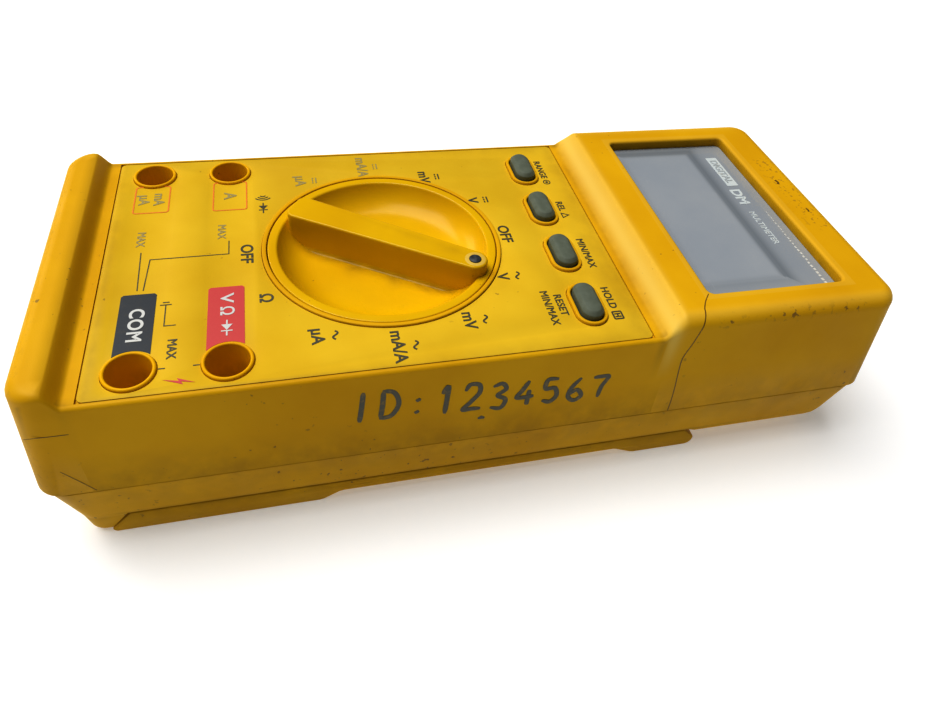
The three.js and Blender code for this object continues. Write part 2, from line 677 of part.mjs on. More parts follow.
function keypadMat() {
  const keyBottom = ceilingZ - fitGap - flangeThickness;
  const domeTop = keyBottom - keyTravel - fitGap;
  const base = block(keys[0].x - keypadMargin, keys[keyCount - 1].x + keypadMargin,
    keyY - keypadMargin, keyY + keypadMargin, boardTop + fitGap, boardTop + keypadTop);
  const domes = keys.map(({ x }) => rod(keypadDomeRadius, x, keyY, boardTop + 1, domeTop, 12));
  return join(base, ...domes);
}

function mainBoard() {
  const half = halfWidth - caseWall - caseDraft * (boardTop - partingZ) - 0.7;
  const start = jackRows[1] + jackRingRadius + 3;
  const end = casePosts[5].y - postRadius - 1;
  const plate = roundedPlate(half, start, end, boardZ, boardTop, 2);
  const postHoles = casePosts.map(({ x, y }) => rod(postRadius + 0.6, x, y, boardZ - 1, boardTop + 1));
  const screwHoles = boardPosts.map(({ x, y }) => rod(screwRadius + fitGap, x, y,
    boardZ - 1, boardTop + 1, 16));
  const rotorHole = rod(screwHeadRadius + 1, 0, dialY, boardZ - 1, boardTop + 1, 24);
  return cut(plate, ...postHoles, ...screwHoles, rotorHole);
}

// A spring clip under the board, round a fuse that runs along X.
function fuseClip(x, y, z) {
  const inner = fuseRadius + fitGap;
  const outer = inner + 0.8;
  const open = THREE.MathUtils.degToRad(50);
  const shape = new THREE.Shape();
  shape.absarc(y, z, outer, -Math.PI / 2 + open, Math.PI * 1.5 - open, false);
  shape.absarc(y, z, inner, Math.PI * 1.5 - open, -Math.PI / 2 + open, true);
  const hoop = extrudeAcross(shape, x - 2.5, x + 2.5, 8);
  const tab = block(x - 2.5, x + 2.5, y - 2, y + 2, z + inner + 0.3, boardZ - fitGap);
  return join(hoop, tab);
}

// ---------------------------------------------------------------- build
piece('front_case', frontCase(), paint.caseYellow);
piece('back_case', backCase(), paint.caseYellow);
piece('case_gasket', caseGasket(), paint.rubber);

const overlayHoles = [
  ...jacks.map(({ x, y }) => rod(jackRingRadius + fitGap, x, y, panelZ - 2, panelZ + 2, 16)),
  ...keys.map(({ x }) => pill(keyLength + keyRingSpan + 2 * fitGap, keyWidth + keyRingSpan + 2 * fitGap,
    x, keyY, panelZ - 2, panelZ + 2)),
  rod(dialRingInner + dialRingWidth + fitGap, 0, dialY, panelZ - 2, panelZ + 2, 32),
];
const overlayPlate = roundedPlate(grooveHalf - fitGap, grooveStart + fitGap, grooveEnd - fitGap,
  panelZ - overlayThickness, panelZ, 1.3);
piece('panel_overlay', cut(overlayPlate, ...overlayHoles), paint.panelYellow);

const glassTop = lensTopZ - lensThickness - 0.6;
const glassThickness = 2.2;
const glassBottom = glassTop - glassThickness;
const displayBoardTop = glassBottom - 5;
piece('display_lens', roundedPlate(windowHalf + lensMargin, windowStart - lensMargin, windowEnd + lensMargin,
  lensTopZ - lensThickness, lensTopZ, 1.5), paint.lens);
piece('lcd_glass', block(-windowHalf + 1, windowHalf - 1, windowStart - 1.2, windowEnd + 1.2,
  glassBottom, glassTop), paint.lcd);
piece('lcd_frame', cut(
  roundedPlate(windowHalf + 3.6, windowStart - 3.8, windowEnd + 3.8, displayBoardTop + fitGap, glassTop, 1),
  block(-windowHalf + 0.7, windowHalf - 0.7, windowStart - 1.5, windowEnd + 1.5,
    displayBoardTop, glassTop + 1),
), paint.black);
piece('lcd_reflector', block(-windowHalf + 2, windowHalf - 2, windowStart + 3, windowEnd - 3,
  glassBottom - 1.5, glassBottom - fitGap), paint.ivory);
sides.forEach((side, i) => {
  const edge = side > 0 ? windowEnd - 1 : windowStart + 1;
  piece(`zebra_strip_${i + 1}`, block(-windowHalf + 4, windowHalf - 4, edge - 1.2, edge + 1.2,
    displayBoardTop + fitGap, glassBottom - fitGap), paint.rubber);
});
piece('display_board', block(-windowHalf - 3.4, windowHalf + 3.4, windowStart - 3.6, windowEnd + 3.6,
  displayBoardTop - 1.4, displayBoardTop), paint.board);

piece('main_board', mainBoard(), paint.board);
piece('shield_plate', block(-windowHalf + 2, windowHalf - 2, windowStart - 4, windowEnd - 2,
  boardZ - 1.2, boardZ - 0.6), paint.sheet);
const beeperX = boardPostX - boardPostRadius - beeperRadius - 4.5;
piece('beeper', rod(beeperRadius, beeperX, jackRows[1] + 18.5, boardTop + fitGap, boardTop + 3.8, 20),
  paint.black);
piece('keypad_mat', keypadMat(), paint.rubber);

jacks.forEach((jack) => piece(`jack_sleeve_${jack.name}`, jackSleeve(jack), paint.caseYellow));
jacks.forEach((jack) => piece(`jack_contact_${jack.name}`, jackContact(jack), paint.brass));

const fuseZ = boardZ - fuseRadius - 3.2;
['amp', 'milliamp'].forEach((name, i) => {
  const y = jackRows[1] + 18 + i * fusePitch;
  piece(`fuse_${name}`, axle(fuseRadius, -fuseLength / 2, fuseLength / 2, y, fuseZ, 24), paint.fuse);
  sides.forEach((side, end) => {
    piece(`fuse_clip_${i * 2 + end + 1}`, fuseClip(side * (fuseLength / 2 - 4), y, fuseZ), paint.brass);
  });
});

const [batteryX, batteryY, batteryHeight] = batterySize;
const batteryCentreY = dialY + 24.5;
const batteryZ = boardZ - fitGap - batteryHeight;
piece('battery', block(-batteryX / 2, batteryX / 2, batteryCentreY - batteryY / 2,
  batteryCentreY + batteryY / 2, batteryZ, batteryZ + batteryHeight), paint.battery);
const connectorX = batteryX / 2 + fitGap;
piece('battery_connector', block(connectorX, connectorX + connectorDepth, batteryCentreY - 11,
  batteryCentreY + 11, batteryZ + 2, batteryZ + batteryHeight - 2), paint.black);

casePosts.forEach(({ x, y }, i) => piece(`case_screw_${i + 1}`, screw(x, y, caseSeatZ, 20), paint.steel));
boardPosts.forEach(({ x, y }, i) => piece(`board_screw_${i + 1}`, screw(x, y, boardZ - 0.1, 7), paint.steel));

piece('selector_knob', selectorKnob(), paint.knobYellow);
piece('pointer_insert', rod(pointerRadius, pointerX, pointerY, barTopZ - 0.7, barTopZ - 0.1, 20),
  paint.black);
piece('contact_rotor', contactRotor(), paint.ivory);
piece('rotor_screw', screw(0, dialY, boardTop + 1.3, 7), paint.steel);
piece('shaft_seal', ring(shaftRadius + 0.2, shaftRadius + 1.9, 0, dialY,
  dialWellZ - 1.1, dialWellZ + 0.1, 20), paint.rubber);
piece('detent_spring', detentSpring(), paint.sheet);

keys.forEach(({ name, x }) => piece(`key_${name}`, pushKey(x), paint.keyGrey));

piece('tilt_bail', tiltBail(), paint.caseYellow);
sides.forEach((side, i) => {
  const inner = side * (armInner - bailGap - lugThickness + 0.2);
  const outer = side * (armOuter - 1.1);
  piece(`bail_pin_${i + 1}`, axle(pinRadius, Math.min(inner, outer), Math.max(inner, outer), pivotY, pivotZ),
    paint.steel);
});

export default meter;
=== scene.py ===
# %% [markdown]
# # A rugged bench multimeter
# A yellow test meter lies on its back with its tilt bail folded. Its moulded case, printed
# panel, rotary selector, four rubber keys and display window are built here around the packed
# model, which gives every place and size and carries every moving piece.

# %% Open the packed model
import json
import math

import bmesh
import bpy
import numpy as np
from mathutils import Matrix, Vector


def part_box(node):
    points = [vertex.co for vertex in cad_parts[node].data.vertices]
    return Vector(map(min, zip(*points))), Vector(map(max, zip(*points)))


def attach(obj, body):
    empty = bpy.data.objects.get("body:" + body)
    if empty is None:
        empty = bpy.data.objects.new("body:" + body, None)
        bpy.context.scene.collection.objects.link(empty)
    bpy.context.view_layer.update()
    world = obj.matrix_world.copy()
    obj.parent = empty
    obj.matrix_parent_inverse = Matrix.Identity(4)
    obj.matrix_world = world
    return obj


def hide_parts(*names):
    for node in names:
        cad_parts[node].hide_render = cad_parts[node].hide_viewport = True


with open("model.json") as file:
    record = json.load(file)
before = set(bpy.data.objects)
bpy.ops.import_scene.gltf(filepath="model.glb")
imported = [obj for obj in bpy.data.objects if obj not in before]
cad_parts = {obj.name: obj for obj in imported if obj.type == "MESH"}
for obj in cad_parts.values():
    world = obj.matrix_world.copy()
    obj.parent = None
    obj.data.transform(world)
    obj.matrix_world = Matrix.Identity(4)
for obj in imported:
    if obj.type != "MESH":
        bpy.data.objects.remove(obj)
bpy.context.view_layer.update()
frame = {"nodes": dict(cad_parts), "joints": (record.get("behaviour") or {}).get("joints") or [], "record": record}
MM = 0.001

# %% [markdown]
# ## Measures
# All shapes below are worked out in millimetres. The outer sizes come from the packed pieces,
# so the visual skin always fits the solids that it stands for.

# %% Read sizes from the packed pieces


def box_mm(node):
    """Lowest and highest corners of a packed piece, in millimetres."""
    low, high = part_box(node)
    return np.array(low) / MM, np.array(high) / MM


case_low, case_high = box_mm("front_case")
_, back_high = box_mm("back_case")
film_low, film_high = box_mm("panel_overlay")
lens_low, lens_high = box_mm("display_lens")
knob_low, knob_high = box_mm("selector_knob")
bail_low, bail_high = box_mm("tilt_bail")
HALF_W, HALF_L = case_high[0], case_high[1]
LIP_Z, BEZEL_Z = case_low[2], case_high[2]
PANEL_Z = film_high[2]
SEAM_Z = back_high[2]
DRAFT = 0.12  # each front wall leans in by this much per millimetre of height
dial_joint = next(j for j in frame["joints"] if j["name"] == "selector_turn")
DIAL_Y = dial_joint["pos_m"][1] / MM
KNOB_R = (knob_high[0] - knob_low[0]) / 2
LENS_MARGIN = 3.2  # the sheet reaches this far behind the bezel
WINDOW_X = lens_high[0] - LENS_MARGIN
WINDOW_Y0, WINDOW_Y1 = lens_low[1] + LENS_MARGIN, lens_high[1] - LENS_MARGIN
RIDGE_CREST, RIDGE_FOOT, RIDGE_RISE = 9.9 - HALF_L, 13.0 - HALF_L, 3.9
FILM_GAP = 0.3  # between the film and the edge of its pocket
GROOVE_X = film_high[0] + FILM_GAP
GROOVE_Y0, GROOVE_Y1 = film_low[1] - FILM_GAP, film_high[1] + FILM_GAP
GROOVE_TO_SLOPE, SLOPE_RUN = 2.2, 4.5
SLOPE_FOOT = GROOVE_Y1 + GROOVE_TO_SLOPE
SLOPE_TOP = SLOPE_FOOT + SLOPE_RUN
KEY_NAMES = ("range", "relative", "minmax", "hold")
JACK_NAMES = ("com", "volt", "milliamp", "amp")


def middle(node):
    """Middle of a packed piece's box on the panel, as x and y in millimetres."""
    low, high = box_mm(node)
    return (low[:2] + high[:2]) / 2


key_at = {name: middle(f"key_{name}") for name in KEY_NAMES}
jack_at = {name: middle(f"jack_sleeve_{name}") for name in JACK_NAMES}
KEY_TOP = box_mm("key_hold")[1][2]
JACK_TOP = box_mm("jack_sleeve_com")[1][2]
KEY_FLANGE = 1.1  # hidden flange that keeps a key in its hole
key_low, key_high = box_mm("key_hold")
KEY_LONG, KEY_WIDE = key_high[:2] - key_low[:2] - 2 * KEY_FLANGE
print(f"case {2 * HALF_W:.1f} x {2 * HALF_L:.1f} x {BEZEL_Z:.1f} mm, dial radius {KNOB_R:.1f} mm")

# %% [markdown]
# ## Finishes
# Each finish is a small graph of shader nodes. Real moulded plastic is never one flat colour:
# it has a faint mottle, a fine grain that breaks up its highlights, grime in its corners and
# rubbed places on its edges. On the case the same pale also makes a painted highlight on the
# slope and the jack end. Grime, and the rub with its painted highlight, are painted on the
# meshes as numbers from 0 to 1, and every pattern is made in Object coordinates, so that it
# stays put as a piece moves.

# %% A small helper for node graphs
# A Mix node has one set of sockets for each kind of value; these are its colour sockets.
MIX_AMOUNT, MIX_FIRST, MIX_SECOND, MIX_RESULT = 0, 6, 7, 2


class Graph:
    """Builds one material's node graph. Values that never vary go straight onto the shader."""

    def __init__(self, name, color, roughness, metallic=0.0, specular=0.5, coat=0.0,
                 coat_roughness=0.1):
        self.material = bpy.data.materials.new(name)
        self.material.use_nodes = True
        self.nodes = self.material.node_tree.nodes
        self.links = self.material.node_tree.links
        self.shader = self.nodes["Principled BSDF"]
        self.shader.inputs["Base Color"].default_value = (*color, 1)
        self.shader.inputs["Roughness"].default_value = roughness
        self.shader.inputs["Metallic"].default_value = metallic
        self.shader.inputs["Specular IOR Level"].default_value = specular
        self.shader.inputs["Coat Weight"].default_value = coat
        self.shader.inputs["Coat Roughness"].default_value = coat_roughness
        self.place = self.nodes.new("ShaderNodeTexCoord").outputs["Object"]

    def noise(self, scale, detail=3.0, stretch=None):
        """Cloudy noise from 0 to 1; scale is in cycles per metre."""
        node = self.nodes.new("ShaderNodeTexNoise")
        node.inputs["Scale"].default_value = scale
        node.inputs["Detail"].default_value = detail
        place = self.place
        if stretch:
            mapping = self.nodes.new("ShaderNodeMapping")
            mapping.inputs["Scale"].default_value = stretch
            self.links.new(place, mapping.inputs["Vector"])
            place = mapping.outputs["Vector"]
        self.links.new(place, node.inputs["Vector"])
        return node.outputs["Fac"]

    def attribute(self, name):
        """A number painted on the mesh."""
        node = self.nodes.new("ShaderNodeAttribute")
        node.attribute_name = name
        return node.outputs["Fac"]

    def span(self, value, low, high, to_low=0.0, to_high=1.0):
        """Stretches a value from one span to another, clamped."""
        node = self.nodes.new("ShaderNodeMapRange")
        self.links.new(value, node.inputs["Value"])
        ends = (("From Min", low), ("From Max", high), ("To Min", to_low), ("To Max", to_high))
        for socket, number in ends:
            node.inputs[socket].default_value = number
        return node.outputs["Result"]

    def math(self, operation, a, b):
        """One sum on two values, each a socket or a number."""
        node = self.nodes.new("ShaderNodeMath")
        node.operation = operation
        for slot_index, value in enumerate((a, b)):
            if isinstance(value, (int, float)):
                node.inputs[slot_index].default_value = value
            else:
                self.links.new(value, node.inputs[slot_index])
        return node.outputs["Value"]

    def mix(self, amount, first, second):
        """Blends from one colour to another; a colour is a socket or three numbers."""
        node = self.nodes.new("ShaderNodeMix")
        node.data_type = "RGBA"
        self.links.new(amount, node.inputs[MIX_AMOUNT])
        for slot_index, value in ((MIX_FIRST, first), (MIX_SECOND, second)):
            if isinstance(value, tuple):
                node.inputs[slot_index].default_value = (*value, 1)
            else:
                self.links.new(value, node.inputs[slot_index])
        return node.outputs[MIX_RESULT]

    def color(self, value):
        """Drives the base colour."""
        self.links.new(value, self.shader.inputs["Base Color"])

    def roughness(self, value):
        """Drives the roughness."""
        self.links.new(value, self.shader.inputs["Roughness"])

    def bump(self, height, strength, distance=0.0002):
        """Fine relief from a height value."""
        node = self.nodes.new("ShaderNodeBump")
        node.inputs["Strength"].default_value = strength
        node.inputs["Distance"].default_value = distance
        self.links.new(height, node.inputs["Height"])
        self.links.new(node.outputs["Normal"], self.shader.inputs["Normal"])


print("graph helpers:", ", ".join(name for name in vars(Graph) if not name.startswith("_")))

# %% [markdown]
# The yellow pieces share one recipe: a mottled yellow, small dark specks where dirt has lodged,
# brown grime where it was painted on the mesh, and paler rubbed edges. The same pale yellow is
# also a painted highlight on the case's slope and jack end. Only the depth of the
# yellow and the gloss change between the case, the printed panel and the selector.

# %% Yellow plastics
# The pale yellow stands for rubbed wear, and on the case's slope and jack end for a painted highlight.
RUBBED_AND_HIGHLIGHT_YELLOW, GRIME_BROWN, DIRT_BROWN = (0.84, 0.68, 0.24), (0.24, 0.14, 0.025), (0.20, 0.115, 0.05)


def yellow_plastic(name, color, roughness, grain, specks, coat=0.0):
    """Moulded yellow: mottled by noise, darkened by grime and specks, paler where rubbed and where a highlight is
    painted.
    """
    g = Graph(name, color, roughness, specular=0.1, coat=coat, coat_roughness=0.22)
    deep = tuple(c * f for c, f in zip(color, (0.90, 0.85, 0.6)))
    mottled = g.mix(g.span(g.noise(38.0, 4.0), 0.35, 0.7), color, deep)
    # Paler where rubbed, and where a highlight is painted on the case's slope and jack end.
    rubbed = g.mix(g.attribute("rub"), mottled, RUBBED_AND_HIGHLIGHT_YELLOW)
    patchy = g.math("MULTIPLY", g.attribute("grime"), g.span(g.noise(210.0, 6.0), 0.3, 0.62, 0.35, 1.0))
    grimy = g.mix(patchy, rubbed, GRIME_BROWN)
    cluster = g.span(g.noise(26.0, 2.0), 0.5, 0.66)
    dots = g.math("MULTIPLY", g.span(g.noise(620.0, 2.0), specks, specks + 0.03), cluster)
    scuffs = g.math("MULTIPLY", g.attribute("scuff"), g.span(g.noise(760.0, 5.0), 0.575, 0.62))
    dark = g.math("MAXIMUM", g.math("MULTIPLY", dots, 0.75), scuffs)
    g.color(g.mix(dark, grimy, DIRT_BROWN))
    g.roughness(g.span(g.noise(90.0, 5.0), 0.3, 0.75, roughness - 0.06, roughness + 0.1))
    g.bump(g.noise(2600.0, 2.0), grain)
    return g.material


finish = {
    "case_plastic": yellow_plastic("case_yellow", (0.74, 0.455, 0.010), 0.42, 0.08, 0.70),
    "panel_film": yellow_plastic("panel_yellow", (0.735, 0.520, 0.040), 0.42, 0.04, 0.72),
    "knob_plastic": yellow_plastic("knob_yellow", (0.76, 0.500, 0.004), 0.30, 0.04, 0.71, coat=0.25),
}
jack_yellow = yellow_plastic("jack_yellow", (0.76, 0.470, 0.004), 0.34, 0.04, 0.71)
# The sleeves glow faintly orange: painted light that lifts the inside of their deep bores.
glow = jack_yellow.node_tree.nodes["Principled BSDF"].inputs
glow["Emission Color"].default_value = (0.46, 0.20, 0.0, 1)
glow["Emission Strength"].default_value = 0.16
print("yellow finishes:", len(finish) + 1)

# %% [markdown]
# The keys are grey-green rubber with a dusty bloom. The window is a clear sheet over a
# grey-blue liquid crystal. Metals, boards and the battery sit inside, but each still has its
# own grain, because the meter may be opened or seen through a jack.

# %% Rubber, window and inner finishes


def plain_finish(name, color, roughness, other, noise_scale, grain=0.05, metallic=0.0, stretch=None):
    """A colour that drifts to a second colour by noise, with a roughness drift and a fine grain."""
    g = Graph(name, color, roughness, metallic)
    drift = g.span(g.noise(noise_scale, 4.0, stretch), 0.35, 0.68)
    g.color(g.mix(drift, color, other))
    sheen = g.noise(noise_scale * 2.0, 3.0, stretch)
    g.roughness(g.span(sheen, 0.3, 0.7, roughness - 0.05, roughness + 0.08))
    g.bump(g.noise(noise_scale * 12.0, 2.0, stretch), grain)
    return g.material


def key_rubber_finish():
    """Grey-green rubber: dusty on the crown, darker where grime is painted round the skirt."""
    g = Graph("key_rubber", (0.19, 0.215, 0.16), 0.6, specular=0.3)
    dusty = g.mix(g.span(g.noise(420.0, 5.0), 0.4, 0.7), (0.150, 0.168, 0.126), (0.180, 0.200, 0.155))
    g.color(g.mix(g.attribute("grime"), dusty, (0.05, 0.052, 0.036)))
    g.bump(g.noise(3400.0, 2.0), 0.16)
    return g.material


def window_finish():
    """The display behind its window: grey-blue glass, darker in the border where the frame's shadow is painted,
    dusty and scratched.
    """
    g = Graph("display_window", (0.25, 0.28, 0.31), 0.2, specular=0.3, coat=0.15, coat_roughness=0.12)
    dusty = g.mix(g.span(g.noise(60.0, 5.0), 0.35, 0.75), (0.365, 0.390, 0.420), (0.40, 0.42, 0.44))
    # The darker border colour is mostly the frame's painted shadow on the display.
    frame_shaded = g.mix(g.attribute("border"), dusty, (0.20, 0.22, 0.24))
    streaks = g.span(g.noise(160.0, 3.0, (1.0, 14.0, 1.0)), 0.70, 0.78)
    g.color(g.mix(g.math("MULTIPLY", streaks, 0.18), frame_shaded, (0.6, 0.62, 0.63)))
    g.roughness(g.span(g.noise(180.0, 4.0), 0.35, 0.7, 0.10, 0.24))
    return g.material


finish.update({
    "key_rubber": key_rubber_finish(),
    "window": window_finish(),
    "lcd": plain_finish("lcd_glass", (0.19, 0.22, 0.20), 0.2, (0.22, 0.25, 0.22), 40.0),
    "black_plastic": plain_finish("black_plastic", (0.012, 0.012, 0.013), 0.5, (0.03, 0.03, 0.03),
                                  120.0),
    "seal_rubber": plain_finish("seal_rubber", (0.018, 0.018, 0.017), 0.8, (0.04, 0.038, 0.034), 300.0),
    "ivory_plastic": plain_finish("ivory_plastic", (0.66, 0.63, 0.52), 0.5, (0.55, 0.51, 0.39), 70.0),
    "circuit_board": plain_finish("board_green", (0.025, 0.10, 0.045), 0.35, (0.05, 0.17, 0.07), 180.0),
    "brass": plain_finish("plated_brass", (0.70, 0.50, 0.22), 0.3, (0.45, 0.30, 0.12), 260.0,
                          metallic=1.0),
    "steel": plain_finish("zinc_steel", (0.52, 0.53, 0.54), 0.32, (0.35, 0.35, 0.34), 300.0,
                          metallic=1.0),
    "spring_sheet": plain_finish("spring_sheet", (0.60, 0.61, 0.62), 0.36, (0.44, 0.44, 0.44), 90.0,
                                 metallic=1.0, stretch=(1.0, 12.0, 1.0)),
    "battery_jacket": plain_finish("battery_jacket", (0.045, 0.05, 0.06), 0.35, (0.09, 0.09, 0.10), 80.0),
    "fuse_body": plain_finish("fuse_body", (0.72, 0.68, 0.56), 0.4, (0.62, 0.57, 0.44), 120.0),
})
print("finishes for packed pieces:", len(finish))

# %% [markdown]
# The print is thin ink on plastic. It could be painted into the plastic's own colour, but then
# its edges would be as soft as the pattern. Here each ink is a finish of its own, for raised
# shapes a twentieth of a millimetre thick, and it thins towards yellow where it has rubbed.

# %% Inks


def ink(name, color, patchiness=0.25):
    """Printed or hand-drawn ink: one colour that thins in small patches where it has rubbed."""
    g = Graph(name, color, 0.45)
    worn = tuple(c + (y - c) * patchiness for c, y in zip(color, (0.5, 0.32, 0.03)))
    g.color(g.mix(g.span(g.noise(900.0, 3.0), 0.55, 0.72), color, worn))
    g.bump(g.noise(3000.0, 2.0), 0.04)
    return g.material


dark_ink = ink("dark_ink", (0.10, 0.09, 0.055))
grey_ink = ink("worn_grey_ink", (0.40, 0.33, 0.14), 0.5)
white_ink = ink("white_ink", (0.64, 0.64, 0.61), 0.05)
black_label = ink("black_label", (0.045, 0.052, 0.060), 0.03)
red_label = ink("red_label", (0.60, 0.085, 0.080), 0.04)
orange_ink = ink("orange_ink", (0.78, 0.25, 0.045), 0.2)
marker_ink = ink("marker_ink", (0.125, 0.12, 0.085), 0.3)
pale_ink = ink("pale_window_ink", (0.62, 0.66, 0.66), 0.1)
crack_ink = ink("crack_shadow", (0.20, 0.11, 0.012), 0.15)
print("inks: dark, grey, white, black label, red label, orange, marker, pale and crack")

# %% [markdown]
# The packed pieces come without colour. Each one's record names its material, so a loop gives
# all of them their finish, and the pieces inside the case need no other work.

# %% Give every packed piece its finish
for part in frame["record"]["subparts"]:
    mesh = frame["nodes"][part["node"]].data
    mesh.materials.clear()
    mesh.materials.append(finish[part["material_slot"]])

# %% [markdown]
# ## Surface tools
# A surface here is an array of points and a list of faces. Rows of points are joined by quads,
# and several loose surfaces can be put into one piece, such as the raised rings round the keys.

# %% Rows and rings


def row_quads(rows, columns, wrap):
    """Quads between neighbouring points of a rows by columns grid; wrap closes each row."""
    r = np.arange(rows - 1)[:, None]
    c = np.arange(columns if wrap else columns - 1)[None, :]
    after = (c + 1) % columns
    corners = (r * columns + c, r * columns + after, (r + 1) * columns + after, (r + 1) * columns + c)
    return np.stack(np.broadcast_arrays(*corners), axis=-1).reshape(-1, 4)


def stacked(rings, caps=True):
    """Joins closed rings of equal length into a skin, with a flat face on each end if caps is set."""
    rings = np.asarray(rings, float)
    rows, columns = rings.shape[:2]
    faces = row_quads(rows, columns, True).tolist()
    if caps:
        faces += [list(range(columns))[::-1], list(range((rows - 1) * columns, rows * columns))]
    return rings.reshape(-1, 3), faces


def looped(rings):
    """Joins closed rings into a tube that closes on itself, such as a raised ring."""
    rings = np.asarray(rings, float)
    return stacked(np.concatenate([rings, rings[:1]]), caps=False)


def together(*surfaces):
    """Puts several surfaces into one array of points and one list of faces."""
    points, faces, start = [], [], 0
    for some_points, some_faces in surfaces:
        points.append(some_points)
        faces += [[i + start for i in face] for face in some_faces]
        start += len(some_points)
    return np.concatenate(points), faces


print("quads in a closed ring of 3 by 8 points:", len(row_quads(3, 8, True)))

# %% [markdown]
# A surface becomes a piece when it has a mesh, a finish, and a body to ride on. Every piece
# goes through the same steps, so one function does them all, and paints numbers such as grime
# on the points by a rule of their place.

# %% Pieces, and numbers painted on them
CREASE = 38        # degrees; edges sharper than this stay sharp
SAME_POINT = 0.002  # millimetres; points closer than this are one


def make_piece(name, surface, body, material, crease=CREASE, outward=True, paint=None, merge=True):
    """Makes a piece from a surface in millimetres. It rides on a body and takes the finish given.

    Doubled points are merged if merge is set, closed skins are turned outwards if outward is,
    and edges sharper than crease degrees stay sharp. paint maps an attribute's name to a
    function of the points."""
    points, faces = surface
    mesh = bpy.data.meshes.new(name)
    mesh.from_pydata((np.asarray(points) * MM).tolist(), [], faces)
    work = bmesh.new()
    work.from_mesh(mesh)
    if merge:
        bmesh.ops.remove_doubles(work, verts=work.verts, dist=SAME_POINT * MM)
    if outward:
        bmesh.ops.recalc_face_normals(work, faces=work.faces)
    work.to_mesh(mesh)
    work.free()
    mesh.shade_smooth()
    mesh.set_sharp_from_angle(angle=math.radians(crease))
    mesh.materials.append(material)
    piece = bpy.data.objects.new(name, mesh)
    bpy.context.scene.collection.objects.link(piece)
    for attribute, rule in (paint or {}).items():
        brush(mesh, attribute, rule)
    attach(piece, body)
    print(f"{name}: {len(mesh.vertices)} points, {len(mesh.polygons)} faces")
    return piece


def points_of(mesh):
    """A mesh's points in millimetres, as an array."""
    flat = np.zeros(len(mesh.vertices) * 3, np.float32)
    mesh.vertices.foreach_get("co", flat)
    return flat.reshape(-1, 3).astype(float) / MM


def brush(mesh, attribute, rule):
    """Paints a number on every point by a rule of x, y and z in millimetres."""
    x, y, z = points_of(mesh).T
    values = np.clip(rule(x, y, z), 0, 1).astype(np.float32)
    layer = mesh.attributes.new(attribute, "FLOAT", "POINT")
    layer.data.foreach_set("value", values)


print(f"edges sharper than {CREASE} degrees stay sharp")

# %% [markdown]
# A wall's thickness and a rounded edge are left to Blender's modifiers. They are made part of
# the mesh afterwards, so that the finished piece is plain points and faces.

# %% Settling a piece, and easing from one value to another


def settle(piece, crease=CREASE):
    """Makes a piece's live modifiers part of its mesh, and marks its sharp edges afresh."""
    graph = bpy.context.evaluated_depsgraph_get()
    mesh = bpy.data.meshes.new_from_object(piece.evaluated_get(graph))
    piece.modifiers.clear()
    piece.data = mesh
    mesh.shade_smooth()
    mesh.set_sharp_from_angle(angle=math.radians(crease))
    print(f"{piece.name}: settled to {len(mesh.polygons)} faces")


def smooth(t):
    """Eases from 0 to 1: three t squared less two t cubed, clamped."""
    t = np.clip(t, 0, 1)
    return t * t * (3 - 2 * t)


print("the ease at a quarter, a half and three quarters:", smooth(np.array([0.25, 0.5, 0.75])))

# %% [markdown]
# ## The front half of the case
# The case is a tall rounded box whose walls lean in. Its top isn't flat: a ridge crosses the
# jack end, the panel lies about 4 mm below it, and a slope climbs 5 mm to the bezel round the
# display. It could be cut from a block, but then each edge would need its own rounding.
# Instead, rings of points climb the wall, roll over an edge whose radius follows the height of
# the top, and meet a grid that fills the middle. One height function shapes them all.

# %% Height and roundness along the case
SKIN_GAP = 0.01  # the bezel's skin lies this far inside the packed case


def crown(y):
    """Height of the top at y: the ridge, then the panel, then the bezel past the slope.

    The ridge falls by an ease; the slope is a straight ramp whose ends are rounded, made from
    two square-root corners, half of t plus the root of t squared plus a small number squared."""
    ridge = RIDGE_RISE * (1 - smooth((y - RIDGE_CREST) / (RIDGE_FOOT - RIDGE_CREST)))
    t = (y - SLOPE_FOOT) / (SLOPE_TOP - SLOPE_FOOT)
    soft = 0.05
    ramp = 0.5 * (t + np.sqrt(t * t + soft ** 2)) - 0.5 * (t - 1 + np.sqrt((t - 1) ** 2 + soft ** 2))
    return PANEL_Z + np.maximum(ridge, (BEZEL_Z - SKIN_GAP - PANEL_Z) * ramp)


def roll(y):
    """Edge radius at y: 0.9 beside the panel, 2.5 more round the bezel, and growing at the jack end."""
    rise = smooth((crown(y) - PANEL_Z) / (BEZEL_Z - PANEL_Z))
    jack_end = smooth((RIDGE_CREST - y) / 6.5)
    return 0.9 + np.where(y > 0, 2.5 * rise, 0.7 * rise + 1.6 * jack_end)


print(f"edge radius beside the panel {float(roll(0.0)):.2f} mm, round the bezel {float(roll(70.0)):.2f} mm")

# %% [markdown]
# The grid's lines decide where the top can bend and where it can be opened. An even grid would
# need to be very fine, so lines are put where something happens: close together on the slope,
# and one on each side of every jack, key, dial and window opening.

# %% Lines of the grid
CORNER_R = 6.0
RIM_X, RIM_Y = 37.6, HALF_L - 8.0  # where the rings end and the middle grid begins
JACK_CUT, DIAL_CUT, KEY_CLEAR, FRAME_REACH = 4.9, KNOB_R + 1.0, 0.6, 2.0
KEY_CUT = (KEY_LONG / 2 + KEY_CLEAR, KEY_WIDE / 2 + KEY_CLEAR)
FRAME_X = WINDOW_X + FRAME_REACH
FRAME_Y0, FRAME_Y1 = WINDOW_Y0 - FRAME_REACH, WINDOW_Y1 + FRAME_REACH
POCKET_DEPTH, POCKET_WALL = 0.5, 0.03  # the film's pocket, and how far its wall leans


def sorted_lines(*groups):
    """Sorted grid lines from several groups, with near doubles dropped."""
    lines = np.sort(np.concatenate([np.atleast_1d(g).astype(float) for g in groups]))
    return lines[np.concatenate([[True], np.diff(lines) > 0.02])]


